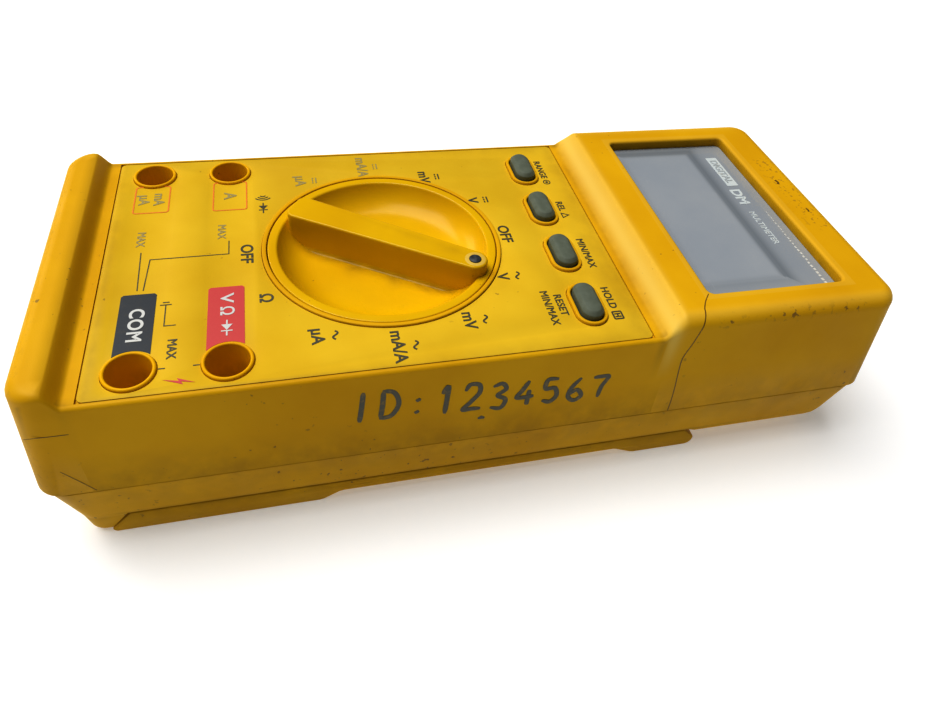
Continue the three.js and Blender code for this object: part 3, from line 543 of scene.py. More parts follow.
jack_xs = np.array([x for x, _ in jack_at.values()])
jack_ys = np.array([y for _, y in jack_at.values()])
key_xs = np.array([x for x, _ in key_at.values()])
KEY_Y = key_at["hold"][1]
side_lines = sorted_lines(
    np.linspace(-93.4, 93.4, 64), np.linspace(-93.4, RIDGE_FOOT, 9), np.linspace(34.6, 44.4, 26),
    jack_ys - JACK_CUT, jack_ys + JACK_CUT, [DIAL_Y - DIAL_CUT, DIAL_Y + DIAL_CUT],
    [KEY_Y - KEY_CUT[1], KEY_Y + KEY_CUT[1], FRAME_Y0, FRAME_Y1],
    [GROOVE_Y0, GROOVE_Y0 + POCKET_WALL, GROOVE_Y1 - POCKET_WALL, GROOVE_Y1])
end_lines = sorted_lines(
    np.linspace(-35.95, 35.95, 28), jack_xs[jack_xs < 0] + JACK_CUT, jack_xs[jack_xs > 0] - JACK_CUT,
    [-DIAL_CUT, DIAL_CUT, -FRAME_X, FRAME_X], key_xs - KEY_CUT[0], key_xs + KEY_CUT[0])
end_lines = end_lines[np.abs(end_lines) < 35.96]
print("side lines", len(side_lines), "end lines", len(end_lines))

# %% [markdown]
# Every ring has the same points in the same order, so that neighbouring rings join by quads.
# A point is held as a recipe, on a side, on an end or on a corner's arc, and the recipe gives
# its place for any half width, half length and corner radius.

# %% The outline's points


def outline_points():
    """The case's outline as unit recipes, in order round it.

    Returns the side or end each point lies on (sign in x, sign in y), its fixed coordinate,
    and for corner points the direction of their arc."""
    steps = np.radians(np.linspace(0, 90, 9))
    rows = []
    for sx, sy, start in ((1, 1, 0), (-1, 1, 90), (-1, -1, 180), (1, -1, 270)):
        if sx == sy:
            fixed = side_lines if sx > 0 else side_lines[::-1]
            rows += [(sx, 0, v, 0, 0) for v in fixed]
        else:
            fixed = end_lines[::-1] if sy > 0 else end_lines
            rows += [(0, sy, v, 0, 0) for v in fixed]
        turn = steps + math.radians(start)
        rows += [(sx, sy, 0, math.cos(a), math.sin(a)) for a in turn]
    return np.array(rows, float).T


sign_x, sign_y, fixed, arc_x, arc_y = outline_points()
is_corner = (sign_x != 0) & (sign_y != 0)
is_side = (sign_x != 0) & (sign_y == 0)
nominal_y = np.where(is_side, fixed, sign_y * HALF_L)
nominal_y = np.where(is_corner, sign_y * (HALF_L - 3.3 - CORNER_R) + CORNER_R * arc_y, nominal_y)
edge_top, edge_r = crown(nominal_y), roll(nominal_y)


def outline_at(half_x, half_y, radius):
    """The outline at given half sizes and corner radius: sides straight, corners on arcs."""
    corner_x = sign_x * (half_x - radius) + radius * arc_x
    corner_y = sign_y * (half_y - radius) + radius * arc_y
    x = np.where(is_corner, corner_x, np.where(is_side, sign_x * half_x, fixed))
    y = np.where(is_corner, corner_y, np.where(is_side, fixed, sign_y * half_y))
    return x, y


def lean(z):
    """How far the wall has leaned in at height z."""
    return DRAFT * (z - LIP_Z)


print("points in a ring:", len(fixed))

# %% [markdown]
# The wall of a moulded case is nearly straight, rolls over its top edge on a quarter circle,
# and runs flat to the panel's groove. Five rings carry the wall, eight the roll and four the
# flat, and the last three drop into the shallow pocket where the film lies.

# %% Rings up the wall, over the edge and onto the flat
SEAM_TUCK = 0.4  # the lip's lowest ring is drawn in by this much
skin_rings = []
shoulder = edge_top - edge_r
for share in (0.0, 0.015, 0.5, 0.97, 1.0):
    z = LIP_Z + share * (shoulder - LIP_Z)
    tuck = SEAM_TUCK if share == 0 else 0.0
    x, y = outline_at(HALF_W - lean(z) - tuck, HALF_L - lean(z) - tuck, CORNER_R)
    skin_rings.append(np.stack([x, y, z], 1))
for angle in np.radians(np.linspace(0, 90, 9)[1:]):
    inset = edge_r * (1 - math.cos(angle))
    x, y = outline_at(HALF_W - lean(shoulder) - inset, HALF_L - lean(shoulder) - inset, CORNER_R - inset)
    skin_rings.append(np.stack([x, y, shoulder + edge_r * math.sin(angle)], 1))
flat_x, flat_y = HALF_W - lean(shoulder) - edge_r, HALF_L - lean(shoulder) - edge_r
for step, reach in enumerate((GROOVE_X, GROOVE_X - POCKET_WALL, jack_xs.max() + JACK_CUT, RIM_X), 1):
    last = reach == RIM_X
    half_x = np.minimum(flat_x - 0.04 * step, reach)
    half_y = np.full_like(half_x, RIM_Y) if last else flat_y - 0.2 * step
    x, y = outline_at(half_x, half_y, 0.0 if last else CORNER_R - edge_r - 0.05 * step)
    sunk = (step > 1) & (y > GROOVE_Y0 + 0.01) & (y < GROOVE_Y1 - 0.01)
    skin_rings.append(np.stack([x, y, crown(y) - POCKET_DEPTH * sunk], 1))
edge_skin = stacked(skin_rings, caps=False)
print("edge rings:", len(skin_rings), "of", len(fixed), "points")

# %% [markdown]
# The middle of the top is a plain grid on the same height function. The jacks, keys, dial and
# window come through it. The openings could be cut with booleans, but leaving out the quads
# between the right grid lines is exact and quick, and the raised rings cover their edges.

# %% The middle of the top, with its openings
grid_x = np.concatenate([[-RIM_X], end_lines, [RIM_X]])
grid_y = np.concatenate([[-RIM_Y], side_lines, [RIM_Y]])
gx, gy = np.meshgrid(grid_x, grid_y)
gz = crown(gy) - POCKET_DEPTH * ((gy > GROOVE_Y0 + 0.01) & (gy < GROOVE_Y1 - 0.01))
middle_skin = (np.stack([gx, gy, gz], -1).reshape(-1, 3),
               row_quads(len(grid_y), len(grid_x), False).tolist())


def with_openings(surface, openings):
    """Drops the faces of the top whose middle lies inside any of the rectangles given."""
    points, faces = surface
    middles = np.array([np.mean(points[face], axis=0) for face in faces])
    keep = np.ones(len(faces), bool)
    mx, my, mz = middles.T
    for x0, x1, y0, y1 in openings:
        inside = (mx > x0) & (mx < x1) & (my > y0) & (my < y1)
        keep &= ~(inside & (mz > PANEL_Z - 2))
    return points, [face for face, kept in zip(faces, keep) if kept]


openings = [(x - JACK_CUT, x + JACK_CUT, y - JACK_CUT, y + JACK_CUT) for x, y in jack_at.values()]
openings += [(x - KEY_CUT[0], x + KEY_CUT[0], y - KEY_CUT[1], y + KEY_CUT[1])
             for x, y in key_at.values()]
openings += [(-DIAL_CUT, DIAL_CUT, DIAL_Y - DIAL_CUT, DIAL_Y + DIAL_CUT),
             (-FRAME_X, FRAME_X, FRAME_Y0, FRAME_Y1)]
skin = with_openings(together(edge_skin, middle_skin), openings)
print("openings:", len(openings))

# %% [markdown]
# An old meter is dirty in its corners, pale where hands and benches rub it, and knocked along
# its edges, and its slope and jack end are painted paler as a highlight. Each of these is a sum
# of bell curves of a point's place, painted on the skin as a number. The skin then gets its
# thickness inwards, so that its outside stays where it is.

# %% Wear and a painted highlight on the case, and the front half


def case_grime(x, y, z):
    """Dirt on the case: along the lip, at the feet of the slope and the ridge, and by the groove."""
    lip = np.exp(-np.abs(z - LIP_Z) / 0.4)
    foot = np.exp(-((y - SLOPE_FOOT + 0.4) / 1.1) ** 2) * (z < PANEL_Z + 1.5) * (z > PANEL_Z - 2)
    ridge = np.exp(-((y - RIDGE_FOOT) / 1.4) ** 2) * (z > PANEL_Z - 2) * 0.5
    groove = np.exp(-np.abs(np.abs(x) - GROOVE_X) / 0.25) * (np.abs(z - PANEL_Z) < 0.6)
    return 0.95 * lip + 0.30 * foot + 0.25 * ridge + 0.35 * groove


def case_rub(x, y, z):
    """Rubbed and dusty on the bezel's rounded rim and the ridge's crest, with a painted highlight on the slope and
    on the ridge's outer end at the jack end.
    """
    high = smooth((z - BEZEL_Z + 2.2) / 1.8)
    rim = np.exp(-((np.abs(x) - 40.2) / 1.5) ** 2)
    crest = np.exp(-((y - SLOPE_TOP) / 1.2) ** 2) + np.exp(-((y - RIDGE_CREST) / 1.6) ** 2)
    # A painted highlight on the slope, and on the ridge's outer end at the jack end.
    slope = np.exp(-((y - (SLOPE_FOOT + SLOPE_TOP) / 2) / 1.9) ** 2) * (z > PANEL_Z - 1)
    jack_end = smooth((RIDGE_CREST - 5.5 - y) / 3.0) * smooth((z - PANEL_Z) / 3.0)
    return 0.16 * high * np.maximum(rim, np.minimum(crest, 1)) + 0.55 * slope + 0.45 * jack_end


def case_scuff(x, y, z):
    """Knocks: clusters along one edge of the bezel, on its display end, and on the jack end."""
    edge = np.exp(-((x - 42.3) / 1.6) ** 2) * np.exp(-((z - BEZEL_Z + 1.5) / 1.4) ** 2)
    along = sum(np.exp(-((y - c) / w) ** 2) for c, w in ((52, 2.5), (69, 6.5), (85, 4.0)))
    far_end = np.exp(-((y - 95) / 3.0) ** 2) * (z > BEZEL_Z - 2) * (np.abs(x + 4) < 16)
    jack_end = np.exp(-((y + HALF_L - 2) / 3.0) ** 2) * 0.2
    return np.maximum(np.maximum(0.9 * edge * along, 0.5 * far_end), jack_end)


SHELL_WALL = 1.2
front_shell = make_piece("front_shell", skin, "meter_body", finish["case_plastic"],
                         crease=50, outward=False,
                         paint={"grime": case_grime, "rub": case_rub, "scuff": case_scuff})
thicken = front_shell.modifiers.new("wall", "SOLIDIFY")
thicken.thickness = SHELL_WALL * MM
thicken.offset = -1
settle(front_shell, 50)
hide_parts("front_case")

# %% [markdown]
# ## Rings, frames and round parts
# The dial well, the jack sleeves and the contacts are turned shapes: a profile of radius and
# height carried round an axis. The raised rings round the keys and the frame round the window
# are the same idea on a stadium and on a rounded rectangle.

# %% Profiles carried round an outline


def turned(profile, x, y, steps=96):
    """A profile of radius and height carried round an upright axis: x plus r cos a, y plus r sin a."""
    profile = np.asarray(profile, float)
    angle = np.linspace(0, 2 * np.pi, steps, endpoint=False)[None, :]
    r, z = profile[:, :1], profile[:, 1:]
    ring = np.stack(np.broadcast_arrays(x + r * np.cos(angle), y + r * np.sin(angle), z + 0 * angle), -1)
    return stacked(ring, caps=False)


def arc(centre_r, centre_z, radius, start, end, steps=7):
    """Points on an arc in a profile, from one angle to another, in degrees."""
    a = np.radians(np.linspace(start, end, steps))
    return np.stack([centre_r + radius * np.cos(a), centre_z + radius * np.sin(a)], 1)


def stadium(length, width, x, y, z, grow=0.0, steps=14):
    """A stadium outline long in x, grown by a distance: two half circles joined by straights."""
    radius = width / 2 + grow
    straight = length / 2 - width / 2
    a = np.radians(np.linspace(-90, 90, steps))
    right = np.stack([x + straight + radius * np.cos(a), y + radius * np.sin(a)], 1)
    left = np.stack([x - straight - radius * np.cos(a), y - radius * np.sin(a)], 1)
    loop = np.concatenate([right, left])
    return np.column_stack([loop, np.full(len(loop), z)])


def rounded_rectangle(x0, x1, y0, y1, z, radius, steps=8):
    """A rectangle whose corners are arcs, as one loop of points."""
    a = np.radians(np.linspace(0, 90, steps))
    parts = []
    for turn, (cx, cy) in enumerate(((x1, y1), (x0, y1), (x0, y0), (x1, y0))):
        b = a + turn * math.pi / 2
        inward_x, inward_y = (-1 if cx == x1 else 1), (-1 if cy == y1 else 1)
        parts.append(np.stack([cx + inward_x * radius + radius * np.cos(b),
                               cy + inward_y * radius + radius * np.sin(b)], 1))
    loop = np.concatenate(parts)
    return np.column_stack([loop, np.full(len(loop), z)])


ring_trial = stadium(KEY_LONG, KEY_WIDE, 0, 0, 0)
print(f"a key's outline has {len(ring_trial)} points and is {np.ptp(ring_trial[:, 0]):.1f} mm long")

# %% [markdown]
# The knob sits in a round well with a thin raised ring, each key in a stadium ring, and the
# window in a frame whose edge rolls inwards. All three are closed loops of rings, so that none
# shows an open edge where it meets the top.

# %% The dial's ring and well, the key rings and the window's frame
RING_TOP = PANEL_Z + 0.5
WELL_FLOOR, WELL_BASE = 37.0, 36.4
RING_ROOT = 43.6  # the key rings reach down to here, inside the case
dial_profile = np.concatenate([
    [(KNOB_R + 0.2, WELL_FLOOR), (KNOB_R + 0.2, PANEL_Z - 0.2), (KNOB_R + 0.2, RING_TOP - 0.2)],
    arc(KNOB_R + 0.4, RING_TOP - 0.2, 0.2, 180, 90, 4),
    arc(KNOB_R + 1.0, RING_TOP - 0.3, 0.3, 90, 0, 5),
    [(KNOB_R + 1.3, PANEL_Z - 1.5), (KNOB_R + 2.6, PANEL_Z - 1.5), (KNOB_R + 2.6, WELL_BASE),
     (12, WELL_BASE), (12, WELL_FLOOR), (KNOB_R + 0.2, WELL_FLOOR)]])
dial_ring = turned(dial_profile, 0, DIAL_Y, 128)


def key_ring(x, y):
    """A raised rounded ring round a key: stadiums growing outwards as the height rises and falls."""
    steps = ((0.3, RING_ROOT), (0.3, PANEL_Z + 0.45), (0.37, PANEL_Z + 0.6), (0.55, PANEL_Z + 0.7),
             (0.9, PANEL_Z + 0.7), (1.08, PANEL_Z + 0.62), (1.18, PANEL_Z + 0.45), (1.18, RING_ROOT))
    return looped([stadium(KEY_LONG, KEY_WIDE, x, y, z, grow) for grow, z in steps])


def window_frame():
    """The bezel round the window: flat on top, rolled into the opening, then straight down."""
    top = BEZEL_Z - SKIN_GAP
    roll_r, corner, square = 0.8, 1.6, 0.001
    rings = [rounded_rectangle(-FRAME_X, FRAME_X, FRAME_Y0, FRAME_Y1, top, square)]
    for angle in np.radians((0, 18, 36, 54, 72, 90)):
        grow = roll_r * (1 - math.sin(angle))
        rings.append(rounded_rectangle(-WINDOW_X - grow, WINDOW_X + grow,
                                       WINDOW_Y0 - grow, WINDOW_Y1 + grow,
                                       top - roll_r * (1 - math.cos(angle)), corner + grow))
    low = lens_high[2] + 0.05
    rings.append(rounded_rectangle(-WINDOW_X, WINDOW_X, WINDOW_Y0, WINDOW_Y1, low, corner))
    rings.append(rounded_rectangle(-FRAME_X, FRAME_X, FRAME_Y0, FRAME_Y1, low, square))
    return looped(rings)


make_piece("dial_well", dial_ring, "meter_body", finish["case_plastic"],
           paint={"grime": lambda x, y, z: 0.8 * smooth((PANEL_Z + 0.2 - z) / 0.8)})
make_piece("key_rings", together(*[key_ring(x, y) for x, y in key_at.values()]), "meter_body",
           finish["case_plastic"],
           paint={"grime": lambda x, y, z: 0.5 * smooth((PANEL_Z + 0.35 - z) / 0.4)})
make_piece("window_frame", window_frame(), "meter_body", finish["case_plastic"],
           paint={"grime": lambda x, y, z: 0.55 * smooth((lens_high[2] + 1.0 - z) / 1.0),
                  "rub": lambda x, y, z: 0.10 * (z > BEZEL_Z - 0.7)})

# %% [markdown]
# Each jack is a yellow sleeve with a rounded ring that stands proud of the panel, and a brass
# tube deep in its bore. Both are turned profiles, and one loop makes all four jacks.

# %% Jack sleeves and contacts


def jack_profile():
    """A sleeve: rounded proud ring, deep bore, and a ledge round the contact."""
    return np.concatenate([
        [(3.4, JACK_TOP - 20), (5.3, JACK_TOP - 20), (5.3, JACK_TOP - 0.6)],
        arc(4.9, JACK_TOP - 0.65, 0.4, 0, 90, 6), arc(4.85, JACK_TOP - 0.6, 0.35, 90, 180, 6),
        [(4.35, JACK_TOP - 13), (3.4, JACK_TOP - 13), (3.4, JACK_TOP - 20)]])


def contact_profile():
    """A brass tube that is blind at its foot."""
    top, foot = JACK_TOP - 12, JACK_TOP - 22
    return [(0, foot), (3.1, foot), (3.1, top - 0.2), (2.9, top), (2.25, top), (2.05, top - 0.3),
            (2.05, foot + 2), (0, foot + 2)]


for name, (x, y) in jack_at.items():
    sleeve = make_piece(f"sleeve_{name}", turned(jack_profile(), x, y, 64), "meter_body",
                        jack_yellow, crease=45,
                        paint={"grime": lambda x, y, z: 0.6 * smooth((JACK_TOP - 3.5 - z) / 9.0)})
    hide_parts(f"jack_sleeve_{name}")
    contact = make_piece(f"contact_{name}", turned(contact_profile(), x, y, 40), "meter_body",
                         finish["brass"])
    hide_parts(f"jack_contact_{name}")

# %% [markdown]
# ## The printed panel
# A thin film lies in a shallow pocket of the case, with round and stadium openings. Blender
# fills a flat curve that has holes in it by itself, so the film is drawn as curves, given a
# thickness, made a mesh, and then set at its height.

# %% A filled curve, and the film


def filled(loops, thickness, bevel=0.0):
    """Fills nested flat loops, in millimetres, and gives them a thickness upwards from zero."""
    curve = bpy.data.curves.new("outline", "CURVE")
    curve.dimensions = "2D"
    curve.fill_mode = "BOTH"
    curve.extrude = thickness / 2 - bevel
    curve.bevel_depth = bevel
    curve.bevel_resolution = 1
    for loop in loops:
        spline = curve.splines.new("POLY")
        spline.points.add(len(loop) - 1)
        flat = np.column_stack([loop[:, :2], np.zeros(len(loop)), np.ones(len(loop))])
        spline.points.foreach_set("co", flat.ravel())
        spline.use_cyclic_u = True
    return curve_surface(curve, thickness / 2)


def curve_surface(curve, lift):
    """Turns a curve or text into a surface of points and faces, raised by lift, and drops the curve."""
    holder = bpy.data.objects.new("holder", curve)
    bpy.context.scene.collection.objects.link(holder)
    graph = bpy.context.evaluated_depsgraph_get()
    mesh = bpy.data.meshes.new_from_object(holder.evaluated_get(graph))
    points = points_of(mesh) * MM
    points[:, 2] += lift
    faces = [list(face.vertices) for face in mesh.polygons]
    bpy.data.objects.remove(holder)
    bpy.data.curves.remove(curve)
    bpy.data.meshes.remove(mesh)
    return points, faces


def circle(x, y, radius, steps=72):
    """A circle as a loop of points."""
    a = np.linspace(0, 2 * np.pi, steps, endpoint=False)
    return np.stack([x + radius * np.cos(a), y + radius * np.sin(a), 0 * a], 1)


def moved(surface, x=0.0, y=0.0, z=0.0):
    """A surface moved by a distance."""
    return surface[0] + np.array([x, y, z]), surface[1]


FILM_THICK, FILM_BEVEL = 0.4, 0.08
film_loops = [rounded_rectangle(film_low[0], film_high[0], film_low[1], film_high[1], 0, 1.3)]
film_loops += [circle(x, y, 5.5) for x, y in jack_at.values()]
film_loops += [stadium(KEY_LONG, KEY_WIDE, x, y, 0, 1.42) for x, y in key_at.values()]
film_loops.append(circle(0, DIAL_Y, KNOB_R + 1.5, 128))
film_surface = moved(filled(film_loops, FILM_THICK, FILM_BEVEL), z=PANEL_Z - FILM_THICK)


def film_grime(x, y, z):
    """Dirt on the film: in its corners and round its edge."""
    edge = np.minimum(GROOVE_X - np.abs(x), np.minimum(y - GROOVE_Y0, GROOVE_Y1 - y))
    return 0.35 * np.exp(-edge / 0.6)


film = make_piece("panel_film", film_surface, "meter_body", finish["panel_film"], crease=30,
                  outward=False, paint={"grime": film_grime})
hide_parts("panel_overlay")

# %% [markdown]
# ## Printing
# The lettering is kept generic: dial ranges, key names and jack names. Each ink is one piece,
# gathered from many small shapes that lie a hair above the film. Letters come from Blender's
# own font, scaled by the height of a capital H.

# %% Letters
INK_T = 0.05  # how thick a printed shape is
probe = bpy.data.curves.new("probe", "FONT")
probe.body = "H"
probe_points, _ = curve_surface(probe, 0)
CAPITAL = np.ptp(probe_points[:, 1])
print(f"capital height of the font at size 1: {CAPITAL:.3f}")


def lettering(text, x, y, capital, stretch=1.0, bold=0.02, spacing=1.0):
    """A line of text centred on x and y, with capitals of the height given, fattened by bold."""
    font = bpy.data.curves.new("lettering", "FONT")
    font.body = text
    font.space_character = spacing
    font.bevel_depth = bold
    font.bevel_resolution = 0
    font.extrude = 0.01
    points, faces = curve_surface(font, 0)
    scale = capital / CAPITAL
    low, high = points[:, 0].min(), points[:, 0].max()
    flat = np.column_stack([(points[:, 0] - (low + high) / 2) * scale * stretch + x,
                            (points[:, 1] - CAPITAL / 2) * scale + y,
                            np.where(points[:, 2] > 0.005, INK_T, 0.0)])
    return flat, faces


# %% [markdown]
# Lines, boxes and signs are strokes: a path with an even width, mitred at its corners, so that
# no two flat shapes overlap in one plane. Overlaps would flicker between the two.

# %% Strokes and plates


def stroke(path, width, closed=False):
    """A flat line of even width along a path of x and y, mitred where it turns.

    The mitre is the sum of the two sides' unit normals over one plus their dot product."""
    path = np.asarray(path, float)
    if closed:
        ahead = np.roll(path, -1, 0) - path
        behind = np.roll(ahead, 1, 0)
    else:
        ahead = np.diff(path, axis=0)
        ahead, behind = np.vstack([ahead, ahead[-1:]]), np.vstack([ahead[:1], ahead])
    ahead, behind = (step / np.linalg.norm(step, axis=1)[:, None] for step in (ahead, behind))
    meeting = np.maximum(1 + np.sum(ahead * behind, axis=1), 0.5)[:, None]
    turn = (ahead + behind) / meeting
    side = np.column_stack([-turn[:, 1], turn[:, 0]]) * width / 2
    corners = [np.column_stack([path + side * s, np.full(len(path), h)]) for s, h in
               ((1, 0), (1, INK_T), (-1, INK_T), (-1, 0))]
    rings = np.stack(corners, axis=1)
    return looped(rings) if closed else stacked(rings)


def straight(x0, y0, x1, y1, width=0.3):
    """A straight printed line."""
    return stroke([(x0, y0), ((x0 + x1) / 2, (y0 + y1) / 2), (x1, y1)], width)


def chain(points, width=0.3):
    """Straight printed lines from point to point, closed when the last point is the first."""
    closed = points[0] == points[-1]
    return stroke(points[:-1] if closed else points, width, closed)


def plate(loop, thickness=INK_T):
    """A flat plate on a closed outline."""
    low = np.column_stack([loop[:, :2], np.zeros(len(loop))])
    return stacked([low, low + (0, 0, thickness)])


print("points in a straight line's stroke:", len(straight(0, 0, 5, 0)[0]))

# %% [markdown]
# A meter's panel has signs for the kinds of current, for a diode and for its beeper. Each is
# drawn from the strokes above by its own small function of a place and a size.

# %% Signs


def wave(x, y, width=2.6, height=0.55, line=0.42):
    """The alternating-current sign: one cycle of a sine, y less height times sin of two pi t."""
    t = np.linspace(-0.5, 0.5, 25)
    return stroke(np.column_stack([x + t * width, y - height * np.sin(2 * np.pi * t)]), line)


def direct(x, y, width=2.6, line=0.36):
    """The direct-current sign: a line over three dashes."""
    dash, pitch = width * 0.24, 0.38
    dashes = [straight(x + s * width * pitch - dash / 2, y - 0.5, x + s * width * pitch + dash / 2, y - 0.5,
                       line) for s in (-1, 0, 1)]
    return together(straight(x - width / 2, y + 0.4, x + width / 2, y + 0.4, line), *dashes)


def diode(x, y, size, line=0.3):
    """A diode sign: a triangle against a bar, on a line."""
    triangle = plate(np.array([(x - 0.45 * size, y - 0.5 * size), (x + 0.3 * size, y),
                               (x - 0.45 * size, y + 0.5 * size)]))
    bar_x = x + 0.3 * size + line / 2
    bar = straight(bar_x, y - 0.5 * size, bar_x, y + 0.5 * size, line)
    return together(triangle, bar, straight(x - size, y, x - 0.46 * size, y, line),
                    straight(bar_x + line / 2 + 0.01, y, x + size, y, line))


def open_box(x0, x1, y0, y1, line=0.3):
    """A thin printed rectangle with rounded corners."""
    return stroke(rounded_rectangle(x0, x1, y0, y1, 0, 0.7)[:, :2], line, closed=True)


def beeper_arcs(x, y):
    """Sound waves: three arcs that widen away from a point."""
    arcs = []
    for radius in (0.9, 1.7, 2.5):
        a = np.radians(np.linspace(-48, 48, 9))
        arcs.append(stroke(np.column_stack([x + radius * np.cos(a), y + radius * np.sin(a)]), 0.3))
    return together(*arcs)


print("signs: wave, direct, diode, open_box, beeper_arcs")

# %% [markdown]
# Round the dial run the names of the ranges, dark on the side that is seldom touched and worn
# to a grey on the other. Each mark is a row of a table: its text, its sign and its place.

# %% Marks round the dial
AC, DC = wave, direct
dial_marks = (("Ω", None, 16.4, -52.3), ("µA", AC, 30.2, -40.3), ("mA/A", AC, 35.7, -23.4),
              ("mV", AC, 30.0, -6.3), ("V", AC, 16.2, 5.3), ("V", DC, -15.8, 5.0), ("mV", DC, -28.1, -6.4),
              ("mA/A", DC, -34.7, -23.2), ("µA", DC, -29.3, -40.5))
LETTER, SMALL = 2.75, 1.8       # heights of a capital
LETTER_DROP, SIGN_RISE = 1.5, 2.2
WORN_SIDE = -29                # marks further left than this have worn to grey
dark_marks, grey_marks = [], []
for text, sign, x, y in dial_marks:
    target = grey_marks if x < WORN_SIDE else dark_marks
    drop = LETTER_DROP if sign else 0.0
    target.append(lettering(text, x, y - drop, LETTER))
    if sign:
        target.append(sign(x, y + SIGN_RISE))
dark_marks += [lettering("OFF", 0.2, -56.3, LETTER), lettering("OFF", -0.2, 8.7, LETTER)]
dark_marks += [beeper_arcs(-24.0, -52.1), diode(-18.0, -52.1, 2.2)]
print("marks round the dial:", len(dark_marks) + len(grey_marks))

# %% [markdown]
# Above each key stands its name, with a small sign after three of them: a ring with a dot, a
# triangle and a boxed letter. The last key has a second use, which is named below it.

# %% Marks at the keys
key_marks = (("RANGE", -28.8, 27.2), ("REL", -10.5, 27.6), ("MIN/MAX", 10.0, 27.9), ("HOLD", 27.0, 27.7),
             ("RESET", 27.9, 15.1), ("MIN/MAX", 28.5, 12.1))
dark_marks += [lettering(text, x, y, SMALL, spacing=1.05) for text, x, y in key_marks]
dark_marks += [stroke(circle(-22.4, 27.2, 0.95, 24)[:, :2], 0.28, True), plate(circle(-22.4, 27.2, 0.42, 16)),
               stroke(rounded_rectangle(31.9, 34.3, 26.6, 28.8, 0, 0.2, 3)[:, :2], 0.4, True),
               lettering("H", 33.1, 27.7, 1.3, 1.0, 0.05),
               chain([(-7.4, 26.7), (-5.4, 26.7), (-6.4, 28.6), (-7.4, 26.7)], 0.28)]
print("dark marks so far:", len(dark_marks))

# %% [markdown]
# Thin lines lead from the jacks to the words beside them, two jacks have an orange box, and
# two have a solid label whose end is hollowed to fit round the jack's ring.

# %% Marks at the jacks
dark_marks += [chain([(-5.3, -60.5), (-0.3, -60.5), (-0.2, -78.1), (10.5, -78.7)], 0.22),
               straight(-3.0, -80.3, 10.4, -80.0, 0.22), straight(34.7, -73.9, 34.7, -72.6, 0.25),
               straight(34.7, -67.2, 34.7, -65.9, 0.25),
               chain([(15.8, -73.6), (22.4, -73.6), (22.4, -71.2)], 0.22),
               straight(15.8, -74.8, 15.8, -72.4, 0.25), straight(15.0, -74.3, 15.0, -72.9, 0.25)]
grey_marks += [lettering("MAX", -8.0, -80.7, SMALL), lettering("MAX", -9.0, -62.2, SMALL)]
dark_marks += [lettering("MAX", 29.5, -71.6, SMALL)]
box_marks = [open_box(-30.1, -18.7, -83.6, -75.3), open_box(-30.4, -18.0, -64.5, -56.2)]
grey_marks += [lettering("mA", -24.3, -77.7, 2.5), lettering("µA", -24.3, -81.3, 2.5),
               lettering("A", -24.2, -60.3, 3.0)]
bolt = plate(np.array([(39.3, -66.6), (37.7, -70.2), (38.5, -69.7), (37.8, -72.9), (39.5, -68.9),
                       (38.7, -69.3)]))
LABEL_HOLLOW, LABEL_CORNER = 5.75, 0.5


def jack_label(jack, x0, y0, y1):
    """A label that runs up to a jack: a rectangle whose right side is a hollow arc round the ring."""
    jx, jy = jack_at[jack]
    radius, cut = LABEL_HOLLOW, LABEL_CORNER
    start = math.asin(np.clip((y0 - jy) / radius, -1, 1))
    end = math.asin(np.clip((y1 - jy) / radius, -1, 1))
    a = np.linspace(start, end, 24)
    hollow = np.column_stack([jx - radius * np.cos(a), jy + radius * np.sin(a)])
    left = np.array([(x0 + cut, y1), (x0, y1 - cut), (x0, y0 + cut), (x0 + cut, y0)])
    return plate(np.concatenate([hollow, left]))


print("dark marks:", len(dark_marks), "grey marks:", len(grey_marks))

# %% [markdown]
# All shapes in one ink become one piece. It lies a hundredth of a millimetre above the film,
# and the white letters lie one ink higher, on the black and red labels.

# %% The inks as pieces
INK_GAP = 0.01


def print_piece(name, parts, material, layer=0):
    """One ink's shapes as a piece on the film; layer lifts it above an ink that lies below."""
    gap = INK_GAP + layer * (INK_T + INK_GAP)
    surface = moved(together(*parts), z=PANEL_Z + gap)
    return make_piece(name, surface, "meter_body", material, crease=30, outward=False,
                      merge=False)


print_piece("dark_printing", dark_marks, dark_ink)
print_piece("grey_printing", grey_marks, grey_ink)
print_piece("orange_boxes", box_marks, orange_ink)
print_piece("red_bolt", [bolt], red_label)
print_piece("com_label", [jack_label("com", 11.7, -83.1, -75.7)], black_label)
print_piece("volt_label", [jack_label("volt", 11.5, -64.8, -57.0)], red_label)
print_piece("label_letters", [lettering("COM", 21.4, -79.3, 2.9, 0.98, 0.03, 1.12),
                              lettering("V", 15.4, -60.7, 2.7, 1.3, 0.02),
                              lettering("Ω", 19.5, -60.7, 2.7, 1.0, 0.02),
                              diode(24.8, -60.7, 2.4, 0.36)], white_ink, 1)

# %% [markdown]
# ## The selector
# The knob is a dish with a rolled rim and a tapered grip bar across it. The dish is turned; the
# bar is a stack of outlines that flare at its foot, rise, and roll in at the top. The outline
# keeps the centres of its corner arcs and only changes their radii, so every ring stays
# parallel to the last.

# %% The dish
RIM_TOP, DISH_Z = PANEL_Z + 0.4, PANEL_Z - 5.7
KNOB_FOOT, BAR_TOP = 37.3, knob_high[2]
RIM_IN = KNOB_R - 2.5
dot_low, dot_high = box_mm("pointer_insert")
dot_x, dot_y = (dot_low[:2] + dot_high[:2]) / 2
BAR_ANGLE = math.atan2(dot_y - DIAL_Y, dot_x)


def bezier(p0, p1, p2, p3, steps=14):
    """A cubic Bezier curve between the first and last of four points."""
    t = np.linspace(0, 1, steps)[:, None]
    points = [np.array(p, float) for p in (p0, p1, p2, p3)]
    weights = ((1 - t) ** 3, 3 * t * (1 - t) ** 2, 3 * t * t * (1 - t), t ** 3)
    return sum(w * p for w, p in zip(weights, points))


